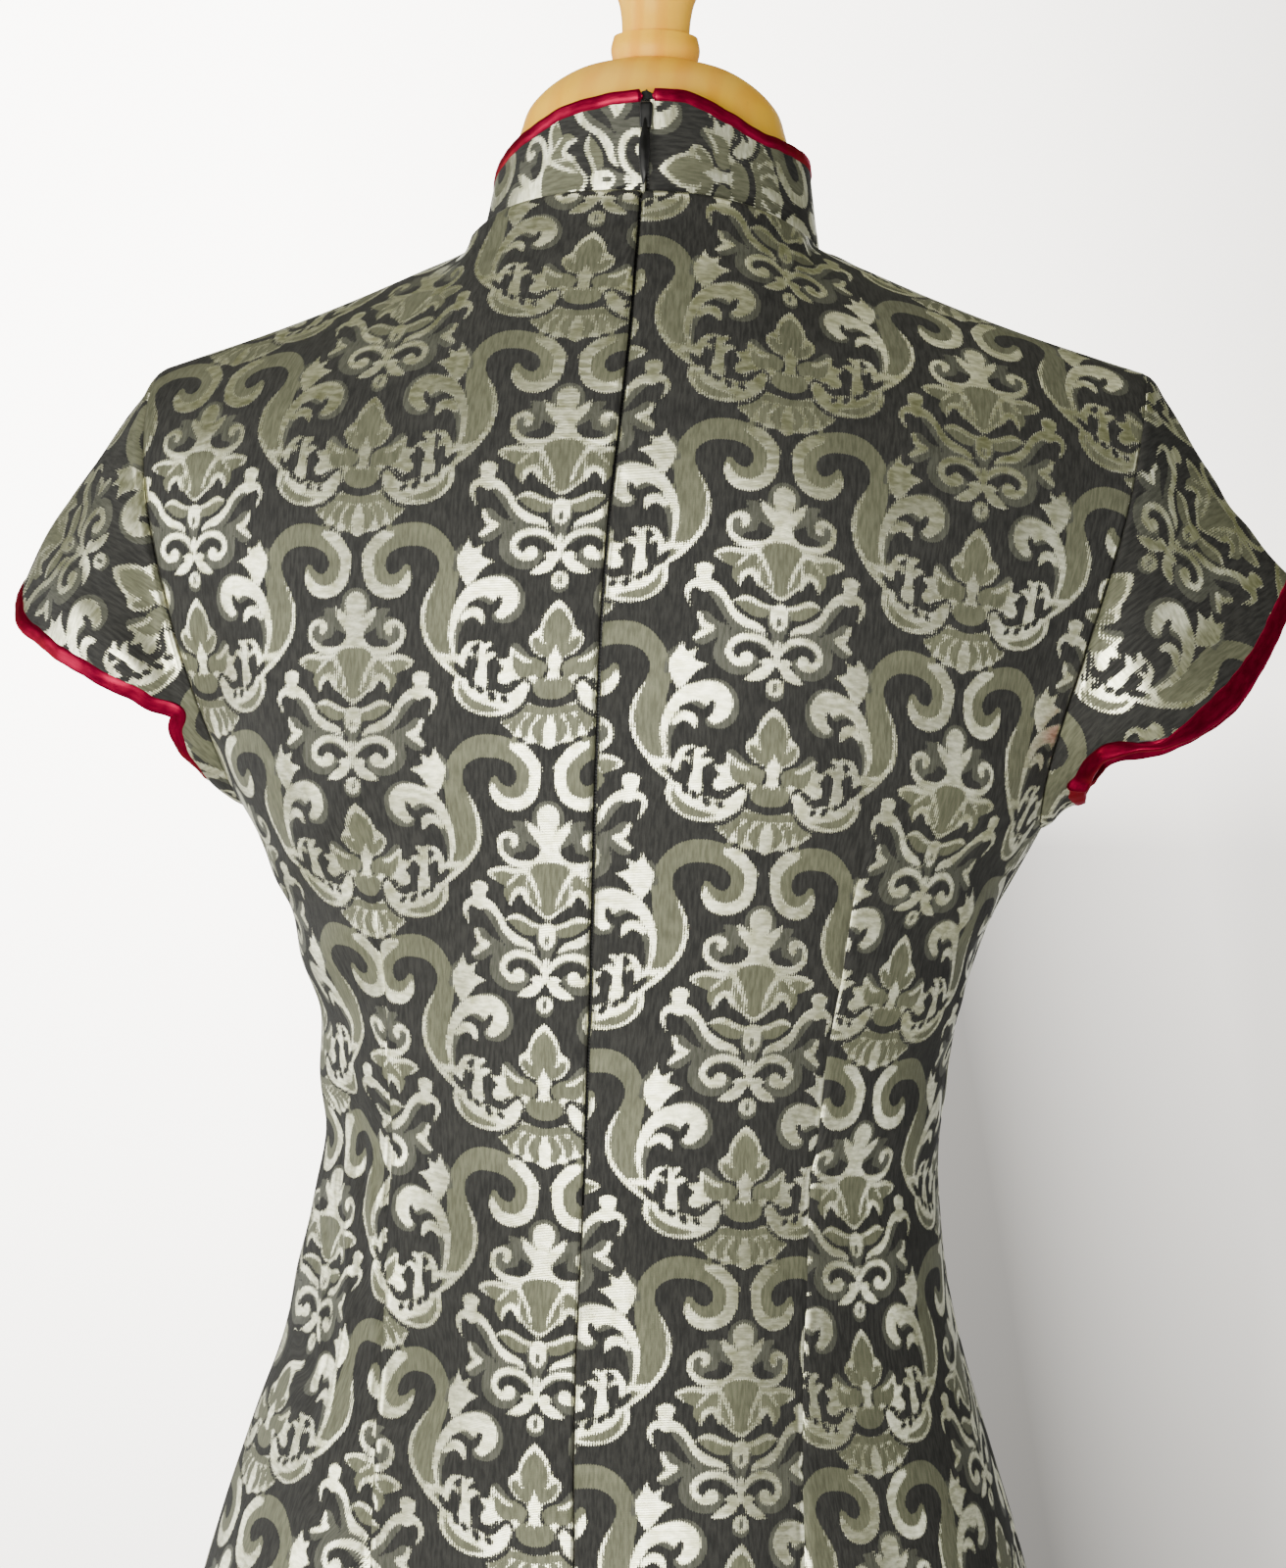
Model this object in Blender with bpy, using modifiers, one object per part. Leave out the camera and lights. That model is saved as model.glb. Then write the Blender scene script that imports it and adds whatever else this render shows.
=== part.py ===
"""A short-sleeved cheongsam worn by a limbless dress form on a round wooden stand.

Metres, +Z up, floor at z = 0, the front of the dress towards -Y, its back towards +Y and the wearer's
left towards +X. The origin is the middle of the stand's underside.

Every panel is an open surface worked out from the body tables below and thickened inwards by a
Solidify modifier. The torso of the form is the same surface, let in by EASE.
"""

import math

import bmesh
import bpy
from mathutils import Vector

# ---------------------------------------------------------------- driving dimensions
CLOTH = 0.0015  # wall of every cloth piece
SEAM = 0.0003  # half of the gap between two sewn edges
ZIP_SEAM = 0.0006  # half of the gap along the zip
EASE = 0.0080  # from the dress's outside to the torso
HEM_Z = 0.46
SLIT_Z = 0.71  # top of the side slits
SLIT_HALF = 0.003
UNDERARM_Z = 1.176
NECK_BACK_Z = 1.4165
NECK_SIDE_Z = 1.4025
NECK_FRONT_Z = 1.345
NECK_HALF = 0.0695
NECK_BACK_Y = 0.060
NECK_FRONT_Y = -0.066
SHOULDER_HALF = 0.1975
SHOULDER_Z = 1.3546
SHOULDER_SAG = 0.003
SHOULDER_Y = -0.004
ZIP_LOW_Z = 1.033

RELAX = 5
BACK_COLUMNS = 10
LOW_ROWS = 18
HIGH_ROWS = 14

# horizontal sections below the underarm: height, half width, back, front, squareness of the section
BODY = (
    # z, half, back, front, power
    (0.46, 0.160, 0.090, -0.098, 2.30),
    (0.60, 0.167, 0.096, -0.102, 2.30),
    (0.72, 0.1735, 0.104, -0.106, 2.30),
    (0.80, 0.176, 0.110, -0.108, 2.28),
    (0.845, 0.1715, 0.109, -0.109, 2.26),
    (0.88, 0.1630, 0.105, -0.110, 2.25),
    (0.92, 0.1505, 0.098, -0.110, 2.24),
    (0.96, 0.1370, 0.089, -0.109, 2.22),
    (1.00, 0.1270, 0.080, -0.107, 2.20),
    (1.046, 0.1228, 0.073, -0.105, 2.20),
    (1.09, 0.1270, 0.077, -0.108, 2.22),
    (1.13, 0.1370, 0.084, -0.113, 2.26),
    (1.155, 0.1475, 0.089, -0.118, 2.30),
    (UNDERARM_Z, 0.1600, 0.094, -0.122, 2.34),
)
# above the underarm, by share of the way up to the shoulder: depth of the back and front at the middle, armhole half width
CHEST = (
    # share, back, front, armhole
    (0.00, 0.094, -0.122, 0.1600),
    (0.12, 0.0975, -0.124, 0.1640),
    (0.21, 0.100, -0.123, 0.1685),
    (0.41, 0.102, -0.116, 0.1795),
    (0.61, 0.101, -0.106, 0.1895),
    (0.75, 0.099, -0.099, 0.1945),
    (0.90, 0.097, -0.094, 0.1975),
    (1.00, 0.096, -0.092, SHOULDER_HALF),
)
ARM_BACK_Y = 0.046  # the armhole's furthest back and forward
ARM_FRONT_Y = -0.060
ARM_TURN = 0.42  # share of the height where the armhole's lower bend ends
ROUND_NECK = 3.5  # how sharply the panels turn over at the neck and at the shoulder
ROUND_TIP = 4.4
BUST = dict(x=0.083, z=1.200, wide=0.052, high=0.058, out=0.016)
BLADE = dict(x=0.085, z=1.290, wide=0.055, high=0.060, out=0.003)

# cap sleeve's hem, from the underarm over the back to the ridge; the left one is lifted and the right one dropped
SLEEVE_HEM = (
    # share of the way round, half width, depth behind the shoulder line, height, lift
    (-0.10, 0.1755, -0.030, 1.1945, 0.0000),
    (0.00, 0.1735, 0.000, 1.1860, 0.0000),
    (0.10, 0.1755, 0.030, 1.1945, 0.0000),
    (0.20, 0.1850, 0.048, 1.2115, 0.0045),
    (0.30, 0.2070, 0.055, 1.2200, 0.0080),
    (0.40, 0.2345, 0.040, 1.2370, 0.0060),
    (0.50, 0.2555, 0.000, 1.2715, -0.0040),
    (0.60, 0.2345, -0.040, 1.2370, 0.0060),
)
# where the middle seam of the back and the zip run, from the hem up: the dress is worn slightly twisted
BACK_SEAM = (
    # z, x
    (0.46, 0.0000),
    (0.80, -0.0015),
    (0.88, -0.0010),
    (0.96, 0.0035),
    (1.046, 0.0045),
    (1.12, 0.0025),
    (1.20, 0.0000),
    (1.257, -0.0015),
    (1.287, -0.0030),
    (1.329, -0.0060),
    (1.367, -0.0075),
    (1.4165, -0.0070),
    (1.46, -0.0075),
)
SLEEVE_MIDDLE_Y = -0.006
SLEEVE_RING = 28
SLEEVE_ROWS = 4
SLEEVE_START = 0.0016
SLEEVE_PUFF = {1: 0.0040, -1: -0.0030}  # the left sleeve is full, the right one flares
BINDING_R = 0.0019
BINDING_GAP = 0.0003

COLLAR_COLUMNS = 14
COLLAR_ROWS = 3
COLLAR_RISE = 0.0008  # above the neckline
COLLAR_TOP_HALF = 0.0632
COLLAR_BASE_HALF = 0.0688
COLLAR_TOP_BACK_Y = 0.0600
COLLAR_TOP_FRONT_Y = -0.0605
# the collar's top edge, round from the middle of the back
COLLAR_TOP = (
    # degrees, left height, right height
    (0, 1.4500, 1.4503),
    (13, 1.4482, 1.4512),
    (25, 1.4452, 1.4495),
    (36, 1.4410, 1.4440),
    (47, 1.4370, 1.4397),
    (60, 1.4325, 1.4376),
    (84, 1.4255, 1.4356),
    (100, 1.4200, 1.4330),
    (135, 1.4020, 1.4100),
    (180, 1.3840, 1.3860),
)
COLLAR_CORNER = 0.22  # share of the front quarter that the rounded corner takes

TAPE_WIDE = 0.020
TAPE_THICK = 0.0009
TAPE_DEPTH = 0.0042  # inside the panels' outer face
SLIDER = (0.0050, 0.0026, 0.0100)
PULL_LONG = 0.0245
PULL_WIDE = 0.0042
PULL_THICK = 0.0012
PULL_HEAD = 0.0007  # above the pin, short enough to turn clear of the slider

TORSO_LOW_Z = 0.80
NECK_Y = -0.004
NECK_TOP_R = 0.0520
NECK_TOP_Z = 1.4340
# turned neck cap: radius and height of each step of its profile, from the seat up
CAP_PROFILE = (
    # r, z
    (0.0535, 1.4345),
    (0.0535, 1.4460),
    (0.0525, 1.4495),
    (0.0495, 1.4577),
    (0.0420, 1.4660),
    (0.0315, 1.4727),
    (0.0190, 1.4766),
    (0.0168, 1.4772),
    (0.0178, 1.4825),
    (0.0168, 1.4876),
    (0.0134, 1.4882),
    (0.0140, 1.4960),
    (0.0157, 1.5030),
    (0.0205, 1.5120),
    (0.0235, 1.5240),
    (0.0225, 1.5360),
    (0.0175, 1.5460),
    (0.0090, 1.5515),
)
POLE_R = 0.016
BASE_PROFILE = (
    # r, z
    (0.0240, 0.0520),
    (0.0300, 0.0500),
    (0.0380, 0.0400),
    (0.0800, 0.0330),
    (0.1400, 0.0280),
    (0.1650, 0.0240),
    (0.1760, 0.0170),
    (0.1800, 0.0090),
    (0.1780, 0.0000),
)
TURNED_STEPS = 24

# ---------------------------------------------------------------- scene
for ob in list(bpy.data.objects):
    bpy.data.objects.remove(ob, do_unlink=True)
DRESS = bpy.data.collections.new("cheongsam_dress")
bpy.context.scene.collection.children.link(DRESS)


def material(name, colour, roughness, metallic=0.0):
    m = bpy.data.materials.new(name)
    m.use_nodes = True
    shader = m.node_tree.nodes["Principled BSDF"]
    shader.inputs["Base Color"].default_value = (*colour, 1.0)
    shader.inputs["Roughness"].default_value = roughness
    shader.inputs["Metallic"].default_value = metallic
    m.diffuse_color = (*colour, 1.0)
    return m


def keep(name, data, colour, roughness=0.6, metallic=0.0):
    ob = bpy.data.objects.new(name, data)
    DRESS.objects.link(ob)
    data.materials.append(material(name, colour, roughness, metallic))
    return ob


DAMASK = (0.36, 0.36, 0.31)
CRIMSON = (0.42, 0.02, 0.04)
JERSEY = (0.72, 0.68, 0.58)
MAPLE = (0.62, 0.42, 0.22)
BLACK = (0.015, 0.015, 0.017)


# ---------------------------------------------------------------- the body's surface
def smooth(x):
    x = min(1.0, max(0.0, x))
    return x * x * (3.0 - 2.0 * x)


def read(table, x, column):
    """A column of a table at x, eased through its rows with matched slopes."""
    rows = table
    if x <= rows[0][0]:
        return rows[0][column]
    if x >= rows[-1][0]:
        return rows[-1][column]
    i = max(k for k in range(len(rows) - 1) if rows[k][0] <= x)

    def slope(k):
        lo, hi = max(k - 1, 0), min(k + 1, len(rows) - 1)
        return (rows[hi][column] - rows[lo][column]) / (rows[hi][0] - rows[lo][0])

    x0, x1 = rows[i][0], rows[i + 1][0]
    p0, p1 = rows[i][column], rows[i + 1][column]
    h = x1 - x0
    t = (x - x0) / h
    return (
        (2 * t**3 - 3 * t**2 + 1) * p0
        + (t**3 - 2 * t**2 + t) * h * slope(i)
        + (-2 * t**3 + 3 * t**2) * p1
        + (t**3 - t**2) * h * slope(i + 1)
    )


def mound(x, z, at):
    return at["out"] * math.exp(
        -(((abs(x) - at["x"]) / at["wide"]) ** 2) - ((z - at["z"]) / at["high"]) ** 2
    )


def swell(back, x, z):
    """The shoulder blades push the back out and the bust pushes the front out."""
    return mound(x, z, BLADE) if back else -mound(x, z, BUST)


def quarter(z, back, steps=48):
    """One quarter of a horizontal section from the middle to the side, with its running length."""
    half, power = read(BODY, z, 1), read(BODY, z, 4)
    deep = read(BODY, z, 2 if back else 3)
    side = 0.4 * (read(BODY, z, 2) + read(BODY, z, 3))
    points, run = [], [0.0]
    for i in range(steps + 1):
        a = 0.5 * math.pi * i / steps
        x = half * math.sin(a) ** (2 / power)
        y = side + (deep - side) * max(math.cos(a), 0.0) ** (2 / power)
        points.append((x, y + swell(back, x, z) * max(math.cos(a), 0.0) ** 0.5))
        if i:
            run.append(run[-1] + math.dist(points[-1], points[-2]))
    return points, run


def on_quarter(z, back, length):
    """The point of a section a given way round from the middle (from the side when negative)."""
    points, run = quarter(z, back)
    goal = length if length >= 0 else run[-1] + length
    goal = min(max(goal, 0.0), run[-1])
    for i in range(1, len(run)):
        if run[i] >= goal:
            f = (goal - run[i - 1]) / (run[i] - run[i - 1])
            return tuple(
                points[i - 1][k] * (1 - f) + points[i][k] * f for k in range(2)
            )
    return points[-1]


def top_edge(u, back):
    """Neckline for u below the neck's share of the columns, shoulder seam beyond it."""
    if u < NECK_SHARE:
        a = 0.5 * math.pi * u / NECK_SHARE
        x = NECK_HALF * math.sin(a)
        deep = NECK_BACK_Y if back else NECK_FRONT_Y
        y = SHOULDER_Y * math.sin(a) + deep * math.cos(a)
        low = NECK_BACK_Z if back else NECK_FRONT_Z
        z = low + (NECK_SIDE_Z - low) * math.sin(a) ** (3.5 if back else 2.0)
        return x, y, z
    v = (u - NECK_SHARE) / (1.0 - NECK_SHARE)
    x = NECK_HALF + (SHOULDER_HALF - NECK_HALF) * v
    z = (
        NECK_SIDE_Z
        + (SHOULDER_Z - NECK_SIDE_Z) * v
        - SHOULDER_SAG * math.sin(math.pi * v)
    )
    return x, SHOULDER_Y, z


NECK_SHARE = 0.4


def low_point(u, z, back):
    """Below the underarm: equal steps round the section."""
    length = quarter(z, back)[1][-1]
    return Vector((*on_quarter(z, back, length * u), z))


def high_point(u, share, back):
    """Above the underarm: from the section at the underarm up to the neckline, the shoulder seam and the armhole."""
    tx, ty, tz = top_edge(u, back)
    z = UNDERARM_Z + share * (tz - UNDERARM_Z)
    half = read(CHEST, share, 3)
    low = low_point(u, UNDERARM_Z, back)
    blend = smooth(share * 1.15)
    g = (1 - blend) * (low.x / read(BODY, UNDERARM_Z, 1)) + blend * (tx / SHOULDER_HALF)
    x = half * g
    deep = read(CHEST, share, 1 if back else 2)
    rest = 0.4 * (read(BODY, UNDERARM_Z, 2) + read(BODY, UNDERARM_Z, 3))
    bend = min(share / ARM_TURN, 1.0)
    arm = rest + ((ARM_BACK_Y if back else ARM_FRONT_Y) - rest) * math.sqrt(
        max(1.0 - (1.0 - bend) ** 2, 0.0)
    )
    power = read(BODY, UNDERARM_Z, 4)
    flat = 1.0 / power + (0.85 - 1.0 / power) * smooth(share / 0.30)
    across = max(1.0 - min(g, 1.0) ** power, 0.0) ** flat
    y = arm + (deep - arm) * across
    y += swell(back, x, z) * max(across, 0.0) ** 0.5 * (1 - smooth((share - 0.6) / 0.4))
    turn = ROUND_NECK + (ROUND_TIP - ROUND_NECK) * smooth(u / NECK_SHARE)
    over = math.sqrt(max(1.0 - share**turn, 0.0))
    return Vector((x, ty + (y - ty) * over, z))


def low_heights():
    """Row heights from the hem up to the underarm, closer together about the waist."""
    rows = []
    for i in range(LOW_ROWS + 1):
        r = i / LOW_ROWS
        rows.append(
            HEM_Z + (UNDERARM_Z - HEM_Z) * (r + 0.11 * math.sin(math.pi * r) ** 2)
        )
    return rows


def high_shares():
    return [
        0.5 * (1 - math.cos(math.pi * i / HIGH_ROWS)) for i in range(1, HIGH_ROWS + 1)
    ]


def relax(rows, rounds, first):
    """Even out the inside of a half; its outer edges stay, and the middle column stays in the middle."""
    for _ in range(rounds):
        old = [[p.copy() for p in row] for row in rows]
        for r in range(first, len(rows) - 2):
            for i in range(len(rows[r]) - 1):
                a = old[r][i]
                right = old[r][i + 1]
                left = old[r][i - 1] if i else Vector((-right.x, right.y, right.z))
                mean = (left + right + old[r - 1][i] + old[r + 1][i]) / 4
                p = a.lerp(mean, 0.5)
                if i == 0:
                    p.x = a.x
                rows[r][i] = p


HALVES = {}


def body_half(back):
    """Rows of points of the body's surface from the middle to the side, hem to shoulder, with no gaps."""
    if back not in HALVES:
        n = BACK_COLUMNS
        rows = [[low_point(i / n, z, back) for i in range(n + 1)] for z in low_heights()]
        rows += [[high_point(i / n, s, back) for i in range(n + 1)] for s in high_shares()]
        relax(rows, RELAX, len(rows) - HIGH_ROWS - 4)
        HALVES[back] = rows
    return HALVES[back]


def on_row(row, u):
    """A point of a half's row by column share; below 0 it crosses the middle to the other side."""
    if u < 0:
        p = on_row(row, -u)
        return Vector((-p.x, p.y, p.z))
    n = len(row) - 1
    i = min(int(u * n), n - 1)
    t = u * n - i
    p1, p2 = row[i], row[i + 1]
    p0 = row[i - 1] if i else Vector((-p2.x, p2.y, p2.z))
    p3 = row[i + 2] if i + 2 <= n else p2 + (p2 - p1)
    return 0.5 * (
        2 * p1
        + (p2 - p0) * t
        + (2 * p0 - 5 * p1 + 4 * p2 - p3) * t * t
        + (3 * p1 - p0 - 3 * p2 + p3) * t**3
    )


def half_panel(back, side):
    """One side of a panel with its seam gaps, in +X; side is 1 for the wearer's left and -1 for the right."""
    panel = []
    rows = body_half(back)
    for r, row in enumerate(rows):
        z = row[0].z
        low, top = r <= LOW_ROWS, r == len(rows) - 1
        rate = (on_row(row, 0.05) - row[0]).length / 0.05
        start = 0.0
        if back:
            gap = ZIP_SEAM if z > ZIP_LOW_Z else SEAM
            start = (side * read(BACK_SEAM, z, 1) + gap) / rate
        length = sum((q - p).length for p, q in zip(row, row[1:]))
        end = (SLIT_HALF if z < SLIT_Z else SEAM) / length if low else 0.0
        new = []
        for i in range(BACK_COLUMNS + 1):
            u = i / BACK_COLUMNS
            p = on_row(row, u * (1 - end) + start * max(0.0, 1 - u / NECK_SHARE))
            if top and u >= NECK_SHARE:
                p.y = SHOULDER_Y + (SEAM if back else -SEAM)
            new.append(p)
        panel.append(new)
    return panel


def mirrored(row):
    return [Vector((-p.x, p.y, p.z)) for p in row]


def sheet(name, rows, outward, ring=False, thickness=CLOTH):
    """An open grid of quads with its normals outwards."""
    bm = bmesh.new()
    grid = [[bm.verts.new(p) for p in row] for row in rows]
    for a, b in zip(grid, grid[1:]):
        n = len(a)
        for i in range(n if ring else n - 1):
            j = (i + 1) % n
            bm.faces.new((a[i], a[j], b[j], b[i]))
    bm.normal_update()
    total = sum(
        f.normal.dot(outward(f.calc_center_median())) * f.calc_area() for f in bm.faces
    )
    if total < 0:
        bmesh.ops.reverse_faces(bm, faces=bm.faces)
    mesh = bpy.data.meshes.new(name)
    bm.to_mesh(mesh)
    bm.free()
    ob = keep(name, mesh, DAMASK)
    wall = ob.modifiers.new("wall", "SOLIDIFY")
    wall.thickness = thickness
    wall.offset = -1.0
    wall.use_even_offset = True
    wall.use_quality_normals = True
    return ob


def from_axis(p):
    return Vector((p.x, p.y, 0.0))


# ---------------------------------------------------------------- the dress
back_panels = {side: half_panel(True, side) for side in (1, -1)}
sheet("back_left", back_panels[1], from_axis)
sheet("back_right", [mirrored(r) for r in back_panels[-1]], from_axis)

front_half = half_panel(False, 1)
sheet("front", [mirrored(r)[:0:-1] + r for r in front_half], from_axis)


# sleeves: a short ring of cloth from the armhole to the hem
def armhole(q):
    """Round the armhole: 0 at the underarm, up the back to the shoulder at 0.5 and down the front."""
    back = q <= 0.5
    r = 2 * q if back else 2 * (1 - q)
    share = 0.5 * (1 - math.cos(math.pi * r))
    return high_point(1.0, share, back)


def sleeve_hem(q, side):
    r = q if q <= 0.5 else 1 - q
    y = read(SLEEVE_HEM, r, 2)
    return Vector(
        (
            read(SLEEVE_HEM, r, 1),
            SLEEVE_MIDDLE_Y + (y if q <= 0.5 else -y),
            read(SLEEVE_HEM, r, 3) + side * read(SLEEVE_HEM, r, 4),
        )
    )


def sleeve_point(q, v, side):
    """Between the armhole and the hem, pushed out a little in between."""
    a, h = armhole(q), sleeve_hem(q, side)
    line = h - a
    start = a + line.normalized() * SLEEVE_START
    out = (a + h) * 0.5 - Vector((0.190, SLEEVE_MIDDLE_Y, 1.250))
    out = out - line * (out.dot(line) / line.length_squared)
    puff = SLEEVE_PUFF[side] * math.sin(math.pi * v * v) * smooth(line.length / 0.05)
    return start.lerp(h, v) + out.normalized() * puff


def sleeve_rows(side):
    return [
        [sleeve_point(j / SLEEVE_RING, k / SLEEVE_ROWS, side) for j in range(SLEEVE_RING)]
        for k in range(SLEEVE_ROWS + 1)
    ]


def from_arm(side):
    def out(p):
        return Vector((p.x - side * 0.190, p.y - SLEEVE_MIDDLE_Y, p.z - 1.235))

    return out


def tube(name, points, closed, colour, radius=BINDING_R):
    curve = bpy.data.curves.new(name, "CURVE")
    curve.dimensions = "3D"
    curve.bevel_depth = radius
    curve.bevel_resolution = 1
    curve.use_fill_caps = True
    spline = curve.splines.new("POLY")
    spline.points.add(len(points) - 1)
    for target, p in zip(spline.points, points):
        target.co = (*p, 1.0)
    spline.use_cyclic_u = closed
    return keep(name, curve, colour, 0.35)


def bead_line(last, before, outward, closed):
    """A line just past the last row of a grid, at the middle of its wall, for the binding."""
    line, n = [], len(last)
    for i, p in enumerate(last):
        ahead = last[(i + 1) % n] if closed else last[min(i + 1, n - 1)]
        behind = last[i - 1] if closed else last[max(i - 1, 0)]
        along = (ahead - behind).normalized()
        away = p - before[i]
        away = (away - along * away.dot(along)).normalized()
        normal = along.cross(away).normalized()
        if normal.dot(outward(p)) < 0:
            normal.negate()
        line.append(p + away * (BINDING_R + BINDING_GAP) - normal * 0.5 * CLOTH)
    return line


for name, side in (("left", 1), ("right", -1)):
    rows = sleeve_rows(side)
    if side < 0:
        rows = [mirrored(r) for r in rows]
    sheet("sleeve_" + name, rows, from_arm(side), ring=True)
    line = bead_line(rows[-1], rows[-2], from_arm(side), True)
    tube("sleeve_binding_" + name, line, True, CRIMSON)


# collar: two halves that stand on the neckline, open at the back for the zip and rounded at the front
def collar_base(a):
    """Round the panels' neckline from the middle of the back (0) to the middle of the front (pi)."""
    count = round(NECK_SHARE * BACK_COLUMNS)
    line = [top_edge(i / BACK_COLUMNS, True) for i in range(count + 1)]
    line += [top_edge(i / BACK_COLUMNS, False) for i in range(count - 1, -1, -1)]
    step = min(max(a / math.pi, 0.0), 1.0) * (len(line) - 1)
    i = min(int(step), len(line) - 2)
    p = Vector(line[i]).lerp(Vector(line[i + 1]), step - i)
    inward = COLLAR_BASE_HALF / NECK_HALF
    return Vector((p.x * inward, p.y * inward, p.z + COLLAR_RISE))


def collar_top(a, side):
    c, s = math.cos(a), math.sin(a)
    deep = COLLAR_TOP_BACK_Y if c >= 0 else COLLAR_TOP_FRONT_Y
    return Vector(
        (
            COLLAR_TOP_HALF * s,
            NECK_Y * s + deep * abs(c),
            read(COLLAR_TOP, math.degrees(a), 1 if side > 0 else 2),
        )
    )


def collar_rows(side):
    """One half of the collar in +X, from the zip round to its rounded front corner."""
    start = (side * read(BACK_SEAM, NECK_BACK_Z, 1) + ZIP_SEAM) / NECK_BACK_Y
    stop = math.pi - (2 * BINDING_R + 0.0014) / abs(NECK_FRONT_Y)
    corner = 0.5 * math.pi * COLLAR_CORNER
    rows = []
    for k in range(COLLAR_ROWS + 1):
        row = []
        for i in range(COLLAR_COLUMNS + 1):
            a = start + (stop - start) * (1 - (1 - i / COLLAR_COLUMNS) ** 1.15)
            near = max((a - (math.pi - corner)) / corner, 0.0)
            cut = 1.0 - 0.62 * (1.0 - math.sqrt(max(1.0 - near**2, 0.0)))
            if a < 0:  # past the middle, on the other side's heights
                low, high = collar_base(-a), collar_top(-a, -side)
                low.x, high.x = -low.x, -high.x
            else:
                low, high = collar_base(a), collar_top(a, side)
            row.append(low.lerp(high, k / COLLAR_ROWS * cut))
        rows.append(row)
    return rows


collars = {side: collar_rows(side) for side in (1, -1)}
for name, side in (("left", 1), ("right", -1)):
    rows = collars[side]
    if side < 0:
        rows = [mirrored(r) for r in rows]
    sheet("collar_" + name, rows, from_axis)
    line = bead_line(rows[-1], rows[-2], from_axis, False)
    line[0] += (line[1] - line[0]).normalized() * BINDING_R
    tube("collar_binding_" + name, line, False, CRIMSON)


# ---------------------------------------------------------------- the zip
def let_in(rows, depth):
    """A grid moved inwards along its own normals."""
    moved = []
    for r, row in enumerate(rows):
        new = []
        for i, p in enumerate(row):
            along = row[min(i + 1, len(row) - 1)] - row[max(i - 1, 0)]
            up = rows[min(r + 1, len(rows) - 1)][i] - rows[max(r - 1, 0)][i]
            normal = along.cross(up).normalized()
            if normal.dot(from_axis(p)) < 0:
                normal.negate()
            new.append(p - normal * depth)
        moved.append(new)
    return moved


def tape_rows():
    """The tape lies behind the back panels and the collar, a little inside their outer face."""
    rows = []
    across = [x * TAPE_WIDE / 2 for x in (-1.0, -0.5, 0.0, 0.5, 1.0)]
    below = max(i for i, r in enumerate(body_half(True)) if r[0].z < ZIP_LOW_Z)
    grid = body_half(True)
    part = (ZIP_LOW_Z - grid[below][0].z) / (grid[below + 1][0].z - grid[below][0].z)
    first = [p.lerp(q, part) for p, q in zip(grid[below], grid[below + 1])]
    skip = 1 if part > 0.75 else 0
    for row in [first] + grid[below + 1 + skip :]:
        rate = (on_row(row, 0.05) - row[0]).length / 0.05
        middle = read(BACK_SEAM, row[0].z, 1)
        rows.append([on_row(row, (middle + x) / rate) for x in across])
    left, right = collars[1], collars[-1]
    for k in range(1, COLLAR_ROWS + 1):
        new = []
        for x in across:
            row = left[k] if x > 0 else [mirrored([p])[0] for p in right[k]]
            p, q = row[0], row[1]
            seam = 0.5 * (left[k][0].x - right[k][0].x)
            new.append(p.lerp(q, (seam + x - p.x) / (q.x - p.x)))
        rows.append(new)
    rows = let_in(rows, TAPE_DEPTH)
    for p in rows[-1]:
        p.z -= 0.001
    return rows


tape = sheet("zip_tape", tape_rows(), from_axis, thickness=TAPE_THICK)
tape.data.materials[0].node_tree.nodes["Principled BSDF"].inputs[
    "Base Color"
].default_value = (*BLACK, 1.0)


def block(name, size, centre, colour, bevel, roughness=0.35, metallic=0.6):
    mesh = bpy.data.meshes.new(name)
    bm = bmesh.new()
    bmesh.ops.create_cube(bm, size=1.0)
    bmesh.ops.scale(bm, vec=size, verts=bm.verts)
    bm.to_mesh(mesh)
    bm.free()
    ob = keep(name, mesh, colour, roughness, metallic)
    ob.location = centre
    soft = ob.modifiers.new("edges", "BEVEL")
    soft.width = bevel
    soft.segments = 2
    return ob


top_left, top_right = collars[1][-1][0], collars[-1][-1][0]
zip_x = 0.5 * (top_left.x - top_right.x)
slider_z = 0.5 * (top_left.z + top_right.z) - 0.0065
slider_y = max(top_left.y, NECK_BACK_Y) + 0.0005 + SLIDER[1] / 2
block("zip_slider", SLIDER, (zip_x, slider_y, slider_z), BLACK, 0.0007)

# the pull tab hangs from the slider's lower end on a pin across it
pivot = Vector(
    (zip_x, slider_y + SLIDER[1] / 2 + 0.0004 + PULL_THICK / 2, slider_z - 0.0022)
)
outline = []
PULL_POINTS = 20
for i in range(PULL_POINTS):
    a = 2 * math.pi * i / PULL_POINTS
    down = 0.5 * (1 - math.cos(a))  # 0 at the pin, 1 at the lower end
    wide = PULL_WIDE * (0.34 + 0.16 * smooth(down * 1.4)) * math.sin(a)
    outline.append((wide, PULL_HEAD - (PULL_LONG + PULL_HEAD) * down))
pull = bpy.data.curves.new("zip_pull", "CURVE")
pull.dimensions = "2D"
pull.fill_mode = "BOTH"
pull.extrude = PULL_THICK / 2 - 0.0002
pull.bevel_depth = 0.0002
pull.bevel_resolution = 0
spline = pull.splines.new("POLY")
spline.points.add(len(outline) - 1)
for target, (x, z) in zip(spline.points, outline):
    target.co = (x, z, 0.0, 1.0)
spline.use_cyclic_u = True
pull_ob = keep("zip_pull", pull, BLACK, 0.15, 0.2)
pull_ob.location = pivot
pull_ob.rotation_euler = (math.radians(90), 0.0, 0.0)


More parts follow.
